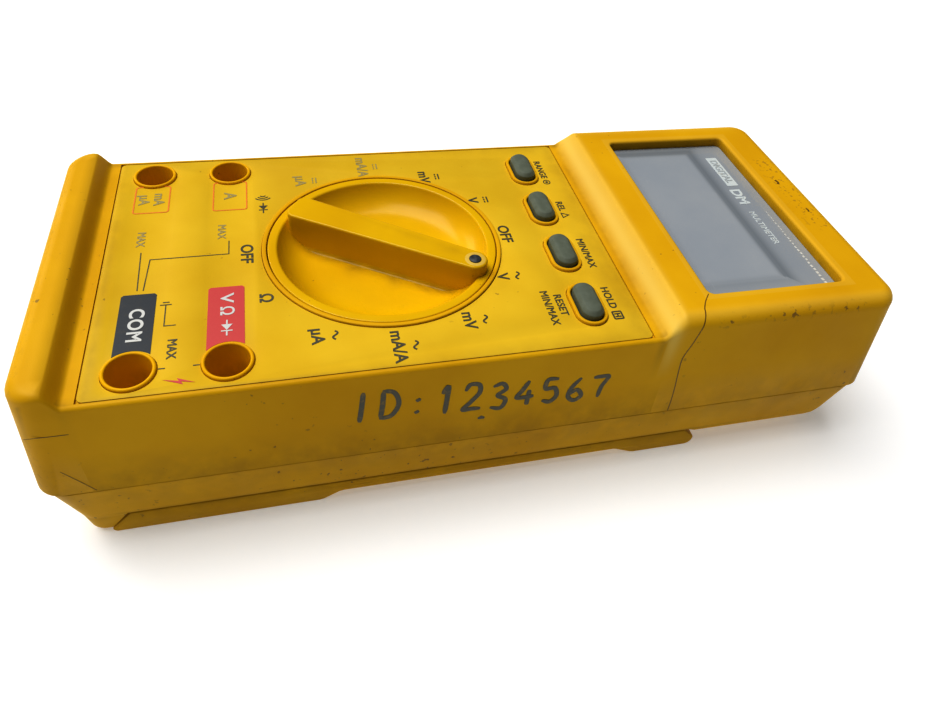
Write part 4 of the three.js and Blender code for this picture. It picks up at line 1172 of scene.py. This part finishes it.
dish_profile = np.concatenate([
    [(0, KNOB_FOOT), (KNOB_R - 0.8, KNOB_FOOT), (KNOB_R, KNOB_FOOT + 0.8)],
    arc(KNOB_R - 0.35, RIM_TOP - 0.35, 0.35, 0, 90), arc(RIM_IN + 0.7, RIM_TOP - 0.7, 0.7, 90, 155),
    bezier((RIM_IN - 0.1, RIM_TOP - 0.75), (RIM_IN - 1.6, RIM_TOP - 3.6), (21.6, DISH_Z), (17.5, DISH_Z)),
    [(12.0, DISH_Z), (6.0, DISH_Z), (0, DISH_Z)]])
print(f"dish {RIM_TOP - DISH_Z:.1f} mm deep, bar at {math.degrees(BAR_ANGLE):.1f} degrees")

# %% [markdown]
# The grip bar is blunt at its tail and round at its tip, where the pointer dot sits. Its foot
# flares into the dish and its top edge is rounded, both by quarter circles of the inset.

# %% The bar
TAIL_R, TIP_R, TAIL_HALF = 2.2, 3.35, 4.45
TAIL_INSET, TIP_INSET = 3.0, 1.0  # the knob's edge to the bar's ends
FLARE, FLARE_RISE = 0.9, 1.2
BAR_LEAN, TOP_ROUND = 0.1, 0.5


def bar_outline(z, inset):
    """The bar's outline at a height: blunt rounded tail, straight tapering sides, round tip."""
    tail_r, tip_r = TAIL_R - inset, TIP_R - inset
    tail_x, tip_x = -(KNOB_R - TAIL_INSET) + TAIL_R, KNOB_R - TIP_INSET - TIP_R
    side = TAIL_HALF - TAIL_R
    tip = np.radians(np.linspace(-88, 88, 17))
    up, down = np.radians(np.linspace(90, 180, 8)), np.radians(np.linspace(180, 270, 8))
    loop = np.concatenate([
        np.stack([tip_x + tip_r * np.cos(tip), tip_r * np.sin(tip)], 1),
        np.stack([tail_x + tail_r * np.cos(up), side + tail_r * np.sin(up)], 1),
        np.stack([tail_x + tail_r * np.cos(down), -side + tail_r * np.sin(down)], 1)])
    c, s = math.cos(BAR_ANGLE), math.sin(BAR_ANGLE)
    return np.column_stack([loop[:, 0] * c - loop[:, 1] * s, DIAL_Y + loop[:, 0] * s + loop[:, 1] * c,
                            np.full(len(loop), z)])


bar_rings = [bar_outline(DISH_Z - 0.5, -FLARE)]
bar_rings += [bar_outline(DISH_Z + FLARE_RISE * (1 - math.cos(a)), -FLARE * (1 - math.sin(a)))
              for a in np.radians((0, 22, 45, 68, 90))]
bar_rings += [bar_outline(BAR_TOP - 2.0, BAR_LEAN)]
bar_rings += [bar_outline(BAR_TOP - TOP_ROUND * (1 - math.sin(a)), BAR_LEAN + TOP_ROUND * (1 - math.cos(a)))
              for a in np.radians((0, 18, 36, 54, 72, 90))]
bar_rings += [bar_outline(BAR_TOP, 0.9)]
print("rings in the bar:", len(bar_rings))

# %% [markdown]
# Dust gathers where fingers can't wipe, along the foot of the bar. The dot is a dark plug with
# a domed top and a dusty ring round it, and all of these turn with the knob.

# %% The knob and its pointer dot


def knob_grime(x, y, z):
    """Dust on the knob: along the foot of the bar, and round the dot at its tip."""
    along = x * math.cos(BAR_ANGLE) + (y - DIAL_Y) * math.sin(BAR_ANGLE)
    across = np.abs(-x * math.sin(BAR_ANGLE) + (y - DIAL_Y) * math.cos(BAR_ANGLE))
    half = TAIL_HALF - 0.022 * (along + 25)
    low = smooth((DISH_Z + 1.6 - z) / 1.6)
    foot = np.exp(-((across - half - 0.6) / 0.8) ** 2) * low
    tip = np.exp(-(((along - 24.2) / 4.2) ** 2 + (across / 2.0) ** 2)) * (z > BAR_TOP - 0.6)
    return 0.55 * foot + 0.30 * tip


knob_surface = together(turned(dish_profile, 0, DIAL_Y, 128), stacked(bar_rings))
knob = make_piece("selector_dial", knob_surface, "selector", finish["knob_plastic"],
                  crease=42, paint={"grime": knob_grime})
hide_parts("selector_knob")
dot_profile = [(0, BAR_TOP - 1.0), (1.5, BAR_TOP - 1.0), (1.5, BAR_TOP + 0.05), (1.4, BAR_TOP + 0.22),
               (0.95, BAR_TOP + 0.38), (0, BAR_TOP + 0.45)]
dust_profile = [(1.55, BAR_TOP - 0.02), (1.55, BAR_TOP + 0.03), (2.45, BAR_TOP + 0.03),
                (2.6, BAR_TOP - 0.02), (1.55, BAR_TOP - 0.02)]
make_piece("pointer_dust", turned(dust_profile, dot_x, dot_y, 48), "selector",
           ink("dust_ring", (0.70, 0.50, 0.10), 0.5))
dot = make_piece("pointer_dot", turned(dot_profile, dot_x, dot_y, 40), "selector",
                 plain_finish("pointer_grey", (0.035, 0.042, 0.052), 0.4, (0.09, 0.10, 0.11), 900.0))
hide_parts("pointer_insert")

# %% [markdown]
# ## The keys
# Each key is a rubber stadium with a bevelled shoulder and a slightly domed crown. It is a
# stack of stadiums that shrink as they rise.

# %% Four rubber keys
KEY_ROOT = 42.2  # where the cap meets its flange
key_steps = ((0.0, KEY_ROOT), (0.0, KEY_TOP - 1.2), (-0.04, KEY_TOP - 1.0), (-0.14, KEY_TOP - 0.86),
             (-0.80, KEY_TOP - 0.24), (-0.92, KEY_TOP - 0.15), (-1.10, KEY_TOP - 0.09),
             (-1.6, KEY_TOP - 0.03), (-2.5, KEY_TOP))
for name, (x, y) in key_at.items():
    cap = stacked([stadium(KEY_LONG, KEY_WIDE, x, y, z, grow) for grow, z in key_steps])
    low, high = box_mm(f"key_{name}")
    flange = stacked([stadium(KEY_LONG, KEY_WIDE, x, y, z, grow) for grow, z in
                      ((1.0, low[2]), (1.1, low[2] + 0.1), (1.1, low[2] + 1.4), (1.0, low[2] + 1.5))])
    key = make_piece(f"key_cap_{name}", together(cap, flange), f"{name}_key",
                     finish["key_rubber"], crease=45,
                     paint={"grime": lambda x, y, z: 0.7 * smooth((KEY_TOP - 1.5 - z) / 0.9)})
    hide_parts(f"key_{name}")

# %% [markdown]
# ## The display
# The window is a thin sheet with a softened edge. Its border, where the frame behind it shows,
# is a little darker, and the frame's shadow lies on it as a painted band; both are held as a
# number on its points, and a worn pale line runs along its display end.

# %% The window sheet


def window_sheet():
    """A flat sheet: a fine grid on top, folded down at its edge to a flat back."""
    across, rows = 120, 80
    x = np.linspace(lens_low[0], lens_high[0], across)
    y = np.linspace(lens_low[1], lens_high[1], rows)
    px, py = np.meshgrid(x, y)
    points = np.stack([px, py, np.full_like(px, lens_high[2])], -1).reshape(-1, 3)
    top = (points, row_quads(rows, across, False).tolist())
    lowered = points * (1, 1, 0) + (0, 0, lens_low[2])
    back = (lowered, [face[::-1] for face in top[1]])
    along, up = np.arange(across - 1), across * np.arange(rows - 1)
    border = np.concatenate([along, across - 1 + up, rows * across - 1 - along, (rows - 1) * across - up])
    return together(top, back, stacked([lowered[border], points[border]], caps=False))


def window_frame_shadow(x, y, z):
    """The frame's shadow on the liquid crystal: a soft band, dark on the far and display sides."""
    gaps = np.stack([x + 31.0, 76.2 - y, 28.5 - x, y - 52.0])
    weights = np.array([0.75, 0.75, 0.22, 0.12])
    side = np.argmin(gaps, axis=0)
    inside = np.min(gaps, axis=0)
    depth = inside - 0.6
    band = np.where(inside < 0.6, np.exp(-(depth / 2.6) ** 2), np.exp(-(depth / 0.9) ** 2))
    return weights[side] * band + 0.14 * (inside < 0)


# The border number holds the frame's painted shadow on the display.
lens = make_piece("window_sheet", window_sheet(), "meter_body", finish["window"],
                  paint={"border": window_frame_shadow})
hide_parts("display_lens")

# %% [markdown]
# The window carries a pale plate with the meter's kind, and a row of short scratches along its
# display end, finer at one end than at the other. The lengths of the scratches vary by chance,
# from a fixed start, so that every run makes the same ones.

# %% Print and scratches on the window
WEAR_Y, WINDOW_GAP = 85.3, 0.01
rng = np.random.default_rng(7)
worn = []
for x in np.arange(1.0, 33.5, 1.3):
    start, drift = x + rng.uniform(0.0, 0.25), rng.uniform(-0.1, 0.1)
    end = start + rng.uniform(0.6, 1.0)
    worn.append(stroke([(start, WEAR_Y + drift), (end, WEAR_Y + 0.05 + drift)], 0.14 + 0.02 * x))
title = [plate(rounded_rectangle(-27.0, -12.0, 80.1, 83.7, 0, 0.3)),
         lettering("DM", -6.6, 81.2, 3.0, 1.1, 0.04), lettering("MULTIMETER", 8.0, 80.9, 1.7)]
make_piece("window_printing", moved(together(*title), z=lens_high[2] + WINDOW_GAP), "meter_body",
           pale_ink, crease=30, outward=False)
make_piece("window_wear", moved(together(*worn), z=lens_high[2] + WINDOW_GAP), "meter_body",
           white_ink, crease=30, outward=False, merge=False)
make_piece("plate_letters", moved(lettering("DIGITAL", -19.5, 81.9, 2.1, 1.05), z=lens_high[2] + 0.07),
           "meter_body", ink("plate_ink", (0.42, 0.45, 0.46), 0.2), crease=30, outward=False,
           merge=False)

# %% [markdown]
# ## The back half
# The back half is a shallow tray with rounded corners, a foot at the jack end, and two long
# recesses for the bail. It is stacked from rounded rectangles like the front, and the recesses,
# the hollow and the screw seats are cut out of it, because cutting is the plain way to make them.

# %% Carving tools
BACK_X, BACK_Y, BACK_Z = back_high[0], back_high[1], 5.4


def carved(surface, cutters):
    """Cuts closed surfaces out of another with Blender's exact boolean, and returns the result."""
    def block_of(name, part):
        mesh = bpy.data.meshes.new(name)
        mesh.from_pydata((np.asarray(part[0]) * MM).tolist(), [], part[1])
        work = bmesh.new()
        work.from_mesh(mesh)
        bmesh.ops.remove_doubles(work, verts=work.verts, dist=SAME_POINT * MM)
        bmesh.ops.recalc_face_normals(work, faces=work.faces)
        work.to_mesh(mesh)
        work.free()
        block = bpy.data.objects.new(name, mesh)
        bpy.context.scene.collection.objects.link(block)
        return block
    body = block_of("carving", surface)
    tools = [block_of("cutter", cutter) for cutter in cutters]
    for tool in tools:
        modifier = body.modifiers.new("cut", "BOOLEAN")
        modifier.operation = "DIFFERENCE"
        modifier.solver = "EXACT"
        modifier.object = tool
    graph = bpy.context.evaluated_depsgraph_get()
    mesh = bpy.data.meshes.new_from_object(body.evaluated_get(graph))
    result = (points_of(mesh), [list(face.vertices) for face in mesh.polygons])
    for thing in [body, *tools]:
        bpy.data.objects.remove(thing)
    bpy.data.meshes.remove(mesh)
    return result


def prism(outline, x0, x1):
    """An outline of y and z carried straight along x."""
    outline = np.asarray(outline, float)
    ends = [np.column_stack([np.full(len(outline), x), outline]) for x in (x0, x1)]
    return stacked(ends)


def level(z, inset, y0, y1, radius):
    """One rounded rectangle of the back half."""
    half = BACK_X - inset
    return rounded_rectangle(-half, half, y0, y1, z, radius, 10)


print(f"back half {2 * BACK_X:.1f} by {2 * BACK_Y:.1f} mm")

# %% [markdown]
# The tray narrows towards its underside, most of all at the display end, so that the meter
# looks slimmer than it is. The foot under the jack end is a second, smaller stack.

# %% The tray and the foot
tray = stacked([
    level(BACK_Z, 2.4, -BACK_Y + 4, BACK_Y - 7.5, 4),
    level(BACK_Z + 0.15, 2.0, -BACK_Y + 3.8, BACK_Y - 6.7, 4.2),
    level(BACK_Z + 0.5, 1.6, -BACK_Y + 3.6, BACK_Y - 5.8, 4.5),
    level(BACK_Z + 1.6, 1.1, -BACK_Y + 3.2, BACK_Y - 4.4, 5),
    level(BACK_Z + 3.4, 0.9, -BACK_Y + 2.9, BACK_Y - 3.4, 5),
    level(SEAM_Z - 0.4, 0.02, -BACK_Y, BACK_Y, CORNER_R),
    level(SEAM_Z, 0.3, -BACK_Y + 0.3, BACK_Y - 0.3, CORNER_R)])
CROSS_BAR, FOOT_GAP = 9.5, 0.8
FOOT_Z, FOOT_END = 0.5, bail_low[1] + CROSS_BAR + FOOT_GAP
foot = stacked([
    level(FOOT_Z, 2.6, -BACK_Y + 5.6, FOOT_END, 3), level(FOOT_Z + 0.5, 1.9, -BACK_Y + 4.6, FOOT_END, 3.4),
    level(FOOT_Z + 1.4, 1.5, -BACK_Y + 4.1, FOOT_END, 4), level(BACK_Z + 2, 1.1, -BACK_Y + 3.2, FOOT_END, 5)])
print(f"foot down to {FOOT_Z:.1f} mm, {FOOT_END + BACK_Y:.1f} mm long")

# %% [markdown]
# The bail lies in a recess of its own shape, a little larger all round. So its side outline is
# a function of how much it grows: by nothing for the bail, and by the gap for the recess.

# %% The bail's outlines
bail_joint = next(j for j in frame["joints"] if j["name"] == "bail_swing")
PIVOT_Y, PIVOT_Z = bail_joint["pos_m"][1] / MM, bail_joint["pos_m"][2] / MM
ARM_WIDTH = 6.5
ARM_OUT, ARM_IN = bail_high[0], bail_high[0] - ARM_WIDTH
BAIL_TIP, BAIL_TOP, BAIL_END = bail_low[1], bail_high[2], bail_high[1]


def arm_outline(grow, relief):
    """A bail arm from the side: bevelled tip, thinner middle, and an end round the pivot.

    The end's arc is the pivot plus the reach times the cosine and sine of its angle."""
    tip, low, top = BAIL_TIP - grow, -grow, BAIL_TOP + grow
    reach = BAIL_END - PIVOT_Y + grow
    shape = [(tip, low + 0.9), (tip + 0.8, low)]
    if relief:
        shape += [(tip + 48, low), (tip + 49.2, low + 0.3), (tip + 53, relief - 0.3), (tip + 54.2, relief),
                  (PIVOT_Y - 20.6, relief), (PIVOT_Y - 19.6, relief - 0.3), (PIVOT_Y - 15, low + 0.3),
                  (PIVOT_Y - 13.8, low)]
    corner, r = np.radians(np.linspace(-90, 0, 6)), 2.2
    shape += [(PIVOT_Y + reach - r + r * math.cos(a), low + r + r * math.sin(a)) for a in corner]
    swing = np.radians(np.linspace(0, 90, 13 if grow else 2))
    shape += [(PIVOT_Y + reach * math.cos(a), PIVOT_Z + reach * math.sin(a)) for a in swing]
    return shape + [(tip + 5.6, top)]


def bar_section(grow):
    """The cross bar from the side."""
    tip = BAIL_TIP - grow
    end = tip + CROSS_BAR + 2 * grow
    return [(tip, 0.9 - grow), (tip + 0.8, -grow), (end, -grow), (end, BAIL_TOP + grow),
            (tip + 5.6, BAIL_TOP + grow)]


print(f"bail {BAIL_END - BAIL_TIP:.1f} mm long, pivot at y {PIVOT_Y:.1f}, z {PIVOT_Z:.1f} mm")

# %% [markdown]
# The tray is hollow, and its screws go up into posts from round seats in the underside. The
# recesses, the hollow and the seats are cut out, and the posts and the two lugs that hold the
# bail's pins are added as shapes of their own.

# %% The recesses, the hollow, the screw seats and the back half
GAP = 0.4  # all round the folded bail
SEAT_R, POST_R, LUG_WIDTH = 3.1, 3.9, 3.2
case_screws = [middle(f"case_screw_{i}") for i in range(1, 7)]
SCREW_HEAD = 2.0
SEAT_Z = box_mm("case_screw_1")[0][2] + SCREW_HEAD
recesses = [prism(arm_outline(GAP, 0), *sorted((s * (ARM_IN - GAP), s * (HALF_W + 5)))) for s in (-1, 1)]
recesses.append(prism(bar_section(GAP), -ARM_IN, ARM_IN))
seats = [turned([(0, -2), (SEAT_R, -2), (SEAT_R, SEAT_Z), (0, SEAT_Z)], x, y, 40) for x, y in case_screws]
hollow = stacked([level(10.0, 3.8, -BACK_Y + 5.8, BACK_Y - 6.2, 3),
                  level(SEAM_Z + 1, 2.8, -BACK_Y + 2.8, BACK_Y - 2.8, 3)])
posts = [turned([(0, 9.5), (POST_R, 9.5), (POST_R, SEAM_Z), (0, SEAM_Z)], x, y, 32) for x, y in case_screws]
lugs = [prism([(PIVOT_Y - 4, BACK_Z + 1), (PIVOT_Y - 4, 1.4), (PIVOT_Y - 3, PIVOT_Z - 2.8),
               (PIVOT_Y + 3, PIVOT_Z - 2.8), (PIVOT_Y + 4, 1.4), (PIVOT_Y + 4, BACK_Z + 1)],
              *sorted((s * (ARM_IN - GAP - LUG_WIDTH), s * (ARM_IN - GAP)))) for s in (-1, 1)]
tray_cut = carved(tray, [*recesses, hollow, *seats])
foot_cut = carved(foot, [*recesses, *seats])


def back_grime(x, y, z):
    """Dirt on the back half: under the seam, and along the bail's recess."""
    seam = np.exp(-np.abs(z - SEAM_Z) / 0.8)
    recess = np.exp(-np.abs(z - BAIL_TOP - GAP) / 0.9) * (np.abs(x) > 30) * (y < BAIL_END + 3)
    return 0.5 * seam + 0.35 * recess


back_surface = together(tray_cut, foot_cut, *lugs, *posts)
back_shell = make_piece("back_shell", back_surface, "meter_body", finish["case_plastic"],
                        crease=35, outward=False, paint={"grime": back_grime})
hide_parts("back_case")

# %% [markdown]
# ## The tilt bail
# The bail is a moulded strap: two long arms that turn on pins, and a cross bar at the free
# end. Its side outline is carried across each arm, and a bevel softens its edges.

# %% Softened edges, arms and cross bar


def soften(piece, width, segments=3):
    """Rounds a piece's sharp edges by a bevel of the width given, in millimetres."""
    bevel = piece.modifiers.new("edges", "BEVEL")
    bevel.width = width * MM
    bevel.segments = segments
    bevel.limit_method = "ANGLE"
    bevel.angle_limit = math.radians(35)


ARM_RELIEF, BAIL_EDGE = 2.9, 0.45  # height of the thin middle, and width of the softened edges
arms = [prism(arm_outline(0, ARM_RELIEF), *sorted((s * ARM_IN, s * ARM_OUT))) for s in (-1, 1)]
cross_bar = prism(bar_section(0), -ARM_IN - 1, ARM_IN + 1)
bail = make_piece("bail", together(*arms, cross_bar), "bail", finish["case_plastic"],
                  crease=35, paint={"grime": lambda x, y, z: 0.35 * smooth((z - BAIL_TOP + 1.0) / 1.0)})
soften(bail, BAIL_EDGE)
settle(bail)
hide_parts("tilt_bail")

# %% [markdown]
# ## Marks of use
# Someone wrote a number on the side with a marker, the side is cracked from the window down to
# the seam, and there are smudges and scratches. Each is a thin ribbon that lies on the wall,
# whose height above the seam sets how far out the wall stands.

# %% Ribbons on the side wall


def wall_x(z):
    """How far out the side wall stands at height z."""
    return HALF_W - lean(z)


def rounded_path(points, steps=8):
    """A smooth path through points: a Catmull-Rom spline, each stretch a cubic of four points."""
    p = np.asarray(points, float)
    padded = np.concatenate([[2 * p[0] - p[1]], p, [2 * p[-1] - p[-2]]])
    t = np.linspace(0, 1, steps, endpoint=False)[:, None]
    pieces = []
    for a, b, c, d in zip(padded[:-3], padded[1:-2], padded[2:-1], padded[3:]):
        pieces.append(0.5 * (2 * b + (c - a) * t + (2 * a - 5 * b + 4 * c - d) * t ** 2
                             + (3 * b - a - 3 * c + d) * t ** 3))
    return np.concatenate([*pieces, p[-1:]])


def wall_ribbon(path, width, lift=0.03, taper=0.5):
    """A ribbon on the side wall along a path of y and z; its ends narrow by the share given."""
    y, z = np.asarray(path, float).T
    step = np.gradient(np.column_stack([y, z]), axis=0)
    step /= np.linalg.norm(step, axis=1)[:, None] + 1e-9
    t = np.linspace(0, 1, len(y))
    narrow = 1 - taper * (1 - np.clip(np.minimum(t, 1 - t) / 0.12, 0, 1)) ** 2
    climb = 0.03 * t
    side = np.column_stack([-step[:, 1], step[:, 0]]) * (width / 2 * narrow)[:, None]
    rings = []
    for s, out in ((1, 0.0), (1, lift), (-1, lift), (-1, 0.0)):
        yy, zz = y + s * side[:, 0], z + s * side[:, 1]
        rings.append(np.column_stack([wall_x(zz) + out + (climb if out else 0), yy, zz]))
    return stacked(np.stack(rings, axis=1))


print(f"the wall stands {wall_x(LIP_Z):.1f} mm out at the seam and {wall_x(BEZEL_Z):.1f} mm at the bezel")

# %% [markdown]
# Handwriting is never even: letters lean, wobble and differ in size. Each letter is a few
# points in a box one wide and one high, a smooth path runs through them, and the box is set
# between two guide lines that slope towards each other, as hurried writing does.

# %% Handwriting on the side
GLYPHS = {
    "I": [[(0.5, 1), (0.5, 0.5), (0.48, 0)]],
    "D": [[(0.15, 0.95), (0.17, 0.5), (0.15, 0.05)],
          [(0.1, 0.97), (0.6, 0.9), (0.85, 0.5), (0.6, 0.1), (0.1, 0.03)]],
    ":": [[(0.42, 0.68), (0.52, 0.60)], [(0.42, 0.24), (0.52, 0.16)]],
    "1": [[(0.3, 0.75), (0.52, 1), (0.52, 0.5), (0.5, 0)]],
    "2": [[(0.12, 0.75), (0.3, 0.98), (0.7, 0.95), (0.75, 0.65), (0.4, 0.3), (0.1, 0.03), (0.5, 0.04),
           (0.88, 0.03)]],
    "3": [[(0.15, 0.9), (0.55, 1), (0.75, 0.78), (0.4, 0.55), (0.78, 0.35), (0.6, 0.02), (0.12, 0.08)]],
    "4": [[(0.6, 1), (0.35, 0.65), (0.1, 0.35), (0.5, 0.33), (0.88, 0.36)],
          [(0.66, 0.62), (0.62, 0.3), (0.6, 0)]],
    "5": [[(0.8, 0.97), (0.3, 0.95), (0.22, 0.58), (0.65, 0.58), (0.78, 0.25), (0.5, 0.0), (0.12, 0.08)]],
    "6": [[(0.7, 1), (0.3, 0.62), (0.15, 0.22), (0.45, 0.0), (0.78, 0.2), (0.55, 0.48), (0.2, 0.3)]],
    "7": [[(0.12, 0.93), (0.5, 0.96), (0.85, 0.93), (0.55, 0.5), (0.4, 0)]],
}
NOTE, MARKER_WIDTH = "ID:1234567", 1.15
note_start = np.array([(-37.2, 40.2), (-38.0, 31.2)])
note_end = np.array([(24.6, 36.0), (25.8, 29.0)])


def note_point(u, v):
    """A point of the note: u runs along its line and v up it, between its sloping guide lines."""
    top = note_start[0] + (note_end[0] - note_start[0]) * u
    low = note_start[1] + (note_end[1] - note_start[1]) * u
    return low + (top - low) * v


note_ribbons = []
for place, glyph in enumerate(NOTE):
    for path in GLYPHS.get(glyph, []):
        wobble = 0.04 * math.sin(2.1 * place)
        spots = [note_point((place + 0.06 + 0.84 * px + 0.08 * py) / len(NOTE), py + wobble)
                 for px, py in path]
        lift = 0.03 + 0.035 * len(note_ribbons) % 0.06  # neighbouring strokes never share a plane
        note_ribbons.append(wall_ribbon(rounded_path(spots), MARKER_WIDTH, lift))
make_piece("marker_note", together(*note_ribbons), "meter_body", marker_ink, crease=30)

# %% [markdown]
# The crack starts at the window's corner, crosses the bezel, goes over its rolled edge and runs
# down the wall. Three separate ribbons would show gaps at the edge, so it is one ribbon whose
# points follow each surface in turn.

# %% Crack, scratches and smudges
crack_side = [(44.4, 46.0), (43.6, 43.0), (42.2, 38.5), (42.4, 34), (42.9, 29), (43.2, 24.5), (43.2, 20.6)]


def top_ribbon(path, width, lift=0.025):
    """A ribbon on the top of the case along a path of x and y; its height follows the top."""
    x, y = np.asarray(path, float).T
    step = np.gradient(np.column_stack([x, y]), axis=0)
    step /= np.linalg.norm(step, axis=1)[:, None] + 1e-9
    side = np.column_stack([-step[:, 1], step[:, 0]]) * width / 2
    rings = []
    for s, out in ((1, -0.02), (1, lift), (-1, lift), (-1, -0.02)):
        xx, yy = x + s * side[:, 0], y + s * side[:, 1]
        rings.append(np.column_stack([xx, yy, crown(yy) + out]))
    return stacked(np.stack(rings, axis=1))


def crack_ribbon(width=0.3, lift=0.02):
    """The crack as one ribbon: across the bezel, over its rolled edge, and down the wall.

    Its path is held as y and the way down, and each stretch follows its own surface: the flat
    top, the edge's arc of radius roll(y), or the leaning wall."""
    spots = []
    for x, y in rounded_path([(34.0, 49.4), (35.9, 47.8), (37.2, 46.9), (38.6, 46.1)], 4):
        spots.append((x, y, crown(np.array(y)), (0, 1)))
    for angle, y in zip(np.radians(np.linspace(85, 5, 10)), np.linspace(45.9, 44.6, 10)):
        radius = roll(np.array(y))
        base = crown(np.array(y)) - radius
        out = (math.cos(angle), math.sin(angle))
        spots.append((HALF_W - lean(base) - radius + radius * out[0], y, base + radius * out[1], out))
    for y, z in rounded_path(crack_side, 5):
        spots.append((wall_x(z), y, z, (1, 0)))
    x, y, z = (np.array([float(spot[i]) for spot in spots]) for i in range(3))
    out = np.array([spot[3] for spot in spots], float)
    rings = []
    for s, rise in ((1, -lift), (1, lift), (-1, lift), (-1, -lift)):
        rings.append(np.column_stack([x + rise * out[:, 0], y + s * width / 2, z + rise * out[:, 1]]))
    return stacked(np.stack(rings, axis=1))


side_marks = [crack_ribbon(),
              wall_ribbon(rounded_path([(-96.0, 28.1), (-93.5, 24.5), (-91.1, 20.9)]), 0.17, 0.02),
              wall_ribbon(rounded_path([(-99.2, 38.5), (-95, 38.4), (-91.2, 38.4)]), 0.15, 0.02)]
top_marks = [top_ribbon(rounded_path([(-9.7, 93.4), (-8.6, 93.7), (-7.6, 93.3)]), 0.7),
             top_ribbon(rounded_path([(4.5, 95.0), (5.3, 95.2), (6.0, 95.0)]), 0.5)]
smudge = wall_ribbon([(-7.7, 27.2), (-6.9, 27.5), (-6.1, 27.2)], 1.1, 0.02)
make_piece("crack_and_scratches", together(*side_marks, *top_marks), "meter_body", crack_ink,
           crease=30)
make_piece("smudge", smudge, "meter_body", marker_ink, crease=30)

# %% [markdown]
# ## Stage
# The meter lies on a plain pale floor. A large soft light hangs over the jack end and the far
# side, so the near wall stays in its own shade, and a pale sky fills the rest.

# %% The floor
FLOOR_TONE, FLOOR_GLOW = 0.68, 0.36


def make_floor():
    """A flat square far larger than the view, with a faint drift of tone."""
    size = 4000.0
    corners = np.array([(-size, -size, 0), (size, -size, 0), (size, size, 0), (-size, size, 0)], float)
    mesh = bpy.data.meshes.new("floor")
    mesh.from_pydata((corners * MM).tolist(), [], [(0, 1, 2, 3)])
    paper = plain_finish("pale_floor", (FLOOR_TONE,) * 3, 0.9, (0.66, 0.66, 0.66), 3.0)
    shader = paper.node_tree.nodes["Principled BSDF"]
    shader.inputs["Emission Color"].default_value = (1, 1, 1, 1)
    shader.inputs["Emission Strength"].default_value = FLOOR_GLOW
    mesh.materials.append(paper)
    floor = bpy.data.objects.new("floor", mesh)
    bpy.context.scene.collection.objects.link(floor)


make_floor()
print("floor laid")

# %% [markdown]
# One large light and one small one are enough: the large one draws the soft shadow, and the
# low one lifts the jack end. The picture's tone curve is set a little deeper than plain, which
# suits a strong yellow.

# %% Lights and tone


def soft_light(name, place, aim, size, power):
    """A square area light at a place, in metres, turned towards its aim."""
    lamp = bpy.data.lights.new(name, "AREA")
    lamp.shape = "SQUARE"
    lamp.size = size
    lamp.energy = power
    light = bpy.data.objects.new(name, lamp)
    light.location = place
    light.rotation_euler = (Vector(aim) - Vector(place)).to_track_quat("-Z", "Y").to_euler()
    bpy.context.scene.collection.objects.link(light)


soft_light("ceiling_light", (-0.50, -0.85, 2.55), (0, 0, 0), 2.1, 99.0)
soft_light("low_window", (-1.75, -1.45, 0.95), (0, 0, 0), 0.8, 9.0)
world = bpy.data.worlds.new("pale_room")
world.use_nodes = True
world.node_tree.nodes["Background"].inputs["Color"].default_value = (1.0, 1.0, 1.0, 1)
world.node_tree.nodes["Background"].inputs["Strength"].default_value = 0.08
bpy.context.scene.world = world
bpy.context.scene.view_settings.view_transform = "Standard"
bpy.context.scene.view_settings.gamma = 0.68

# %% [markdown]
# The camera stands close to the meter, beside its dial, and is tilted a little to one side. It
# is built from the point where it stands, the point that it looks at, and its roll.

# %% The camera
CAMERA_AT, CAMERA_AIM = Vector((0.13347, -0.04086, 0.15217)), Vector((0.04094, -0.00913, 0.045))
CAMERA_ROLL = math.radians(7.71)
ahead = (CAMERA_AIM - CAMERA_AT).normalized()
level_right = ahead.cross(Vector((0, 0, 1))).normalized()
right = Matrix.Rotation(CAMERA_ROLL, 3, -ahead) @ level_right
if right.z < 0:
    right = Matrix.Rotation(CAMERA_ROLL, 3, ahead) @ level_right
up = right.cross(ahead)
camera_data = bpy.data.cameras.new("view")
camera_data.sensor_width = 36.0
camera_data.lens = 25.24
camera_data.clip_start = 0.01
camera = bpy.data.objects.new("view", camera_data)
camera.matrix_world = Matrix((right, up, -ahead)).transposed().to_4x4()
camera.location = CAMERA_AT
bpy.context.scene.collection.objects.link(camera)
bpy.context.scene.camera = camera
print("camera", [round(v, 4) for v in CAMERA_AT], "right", [round(v, 4) for v in right])

# %% [markdown]
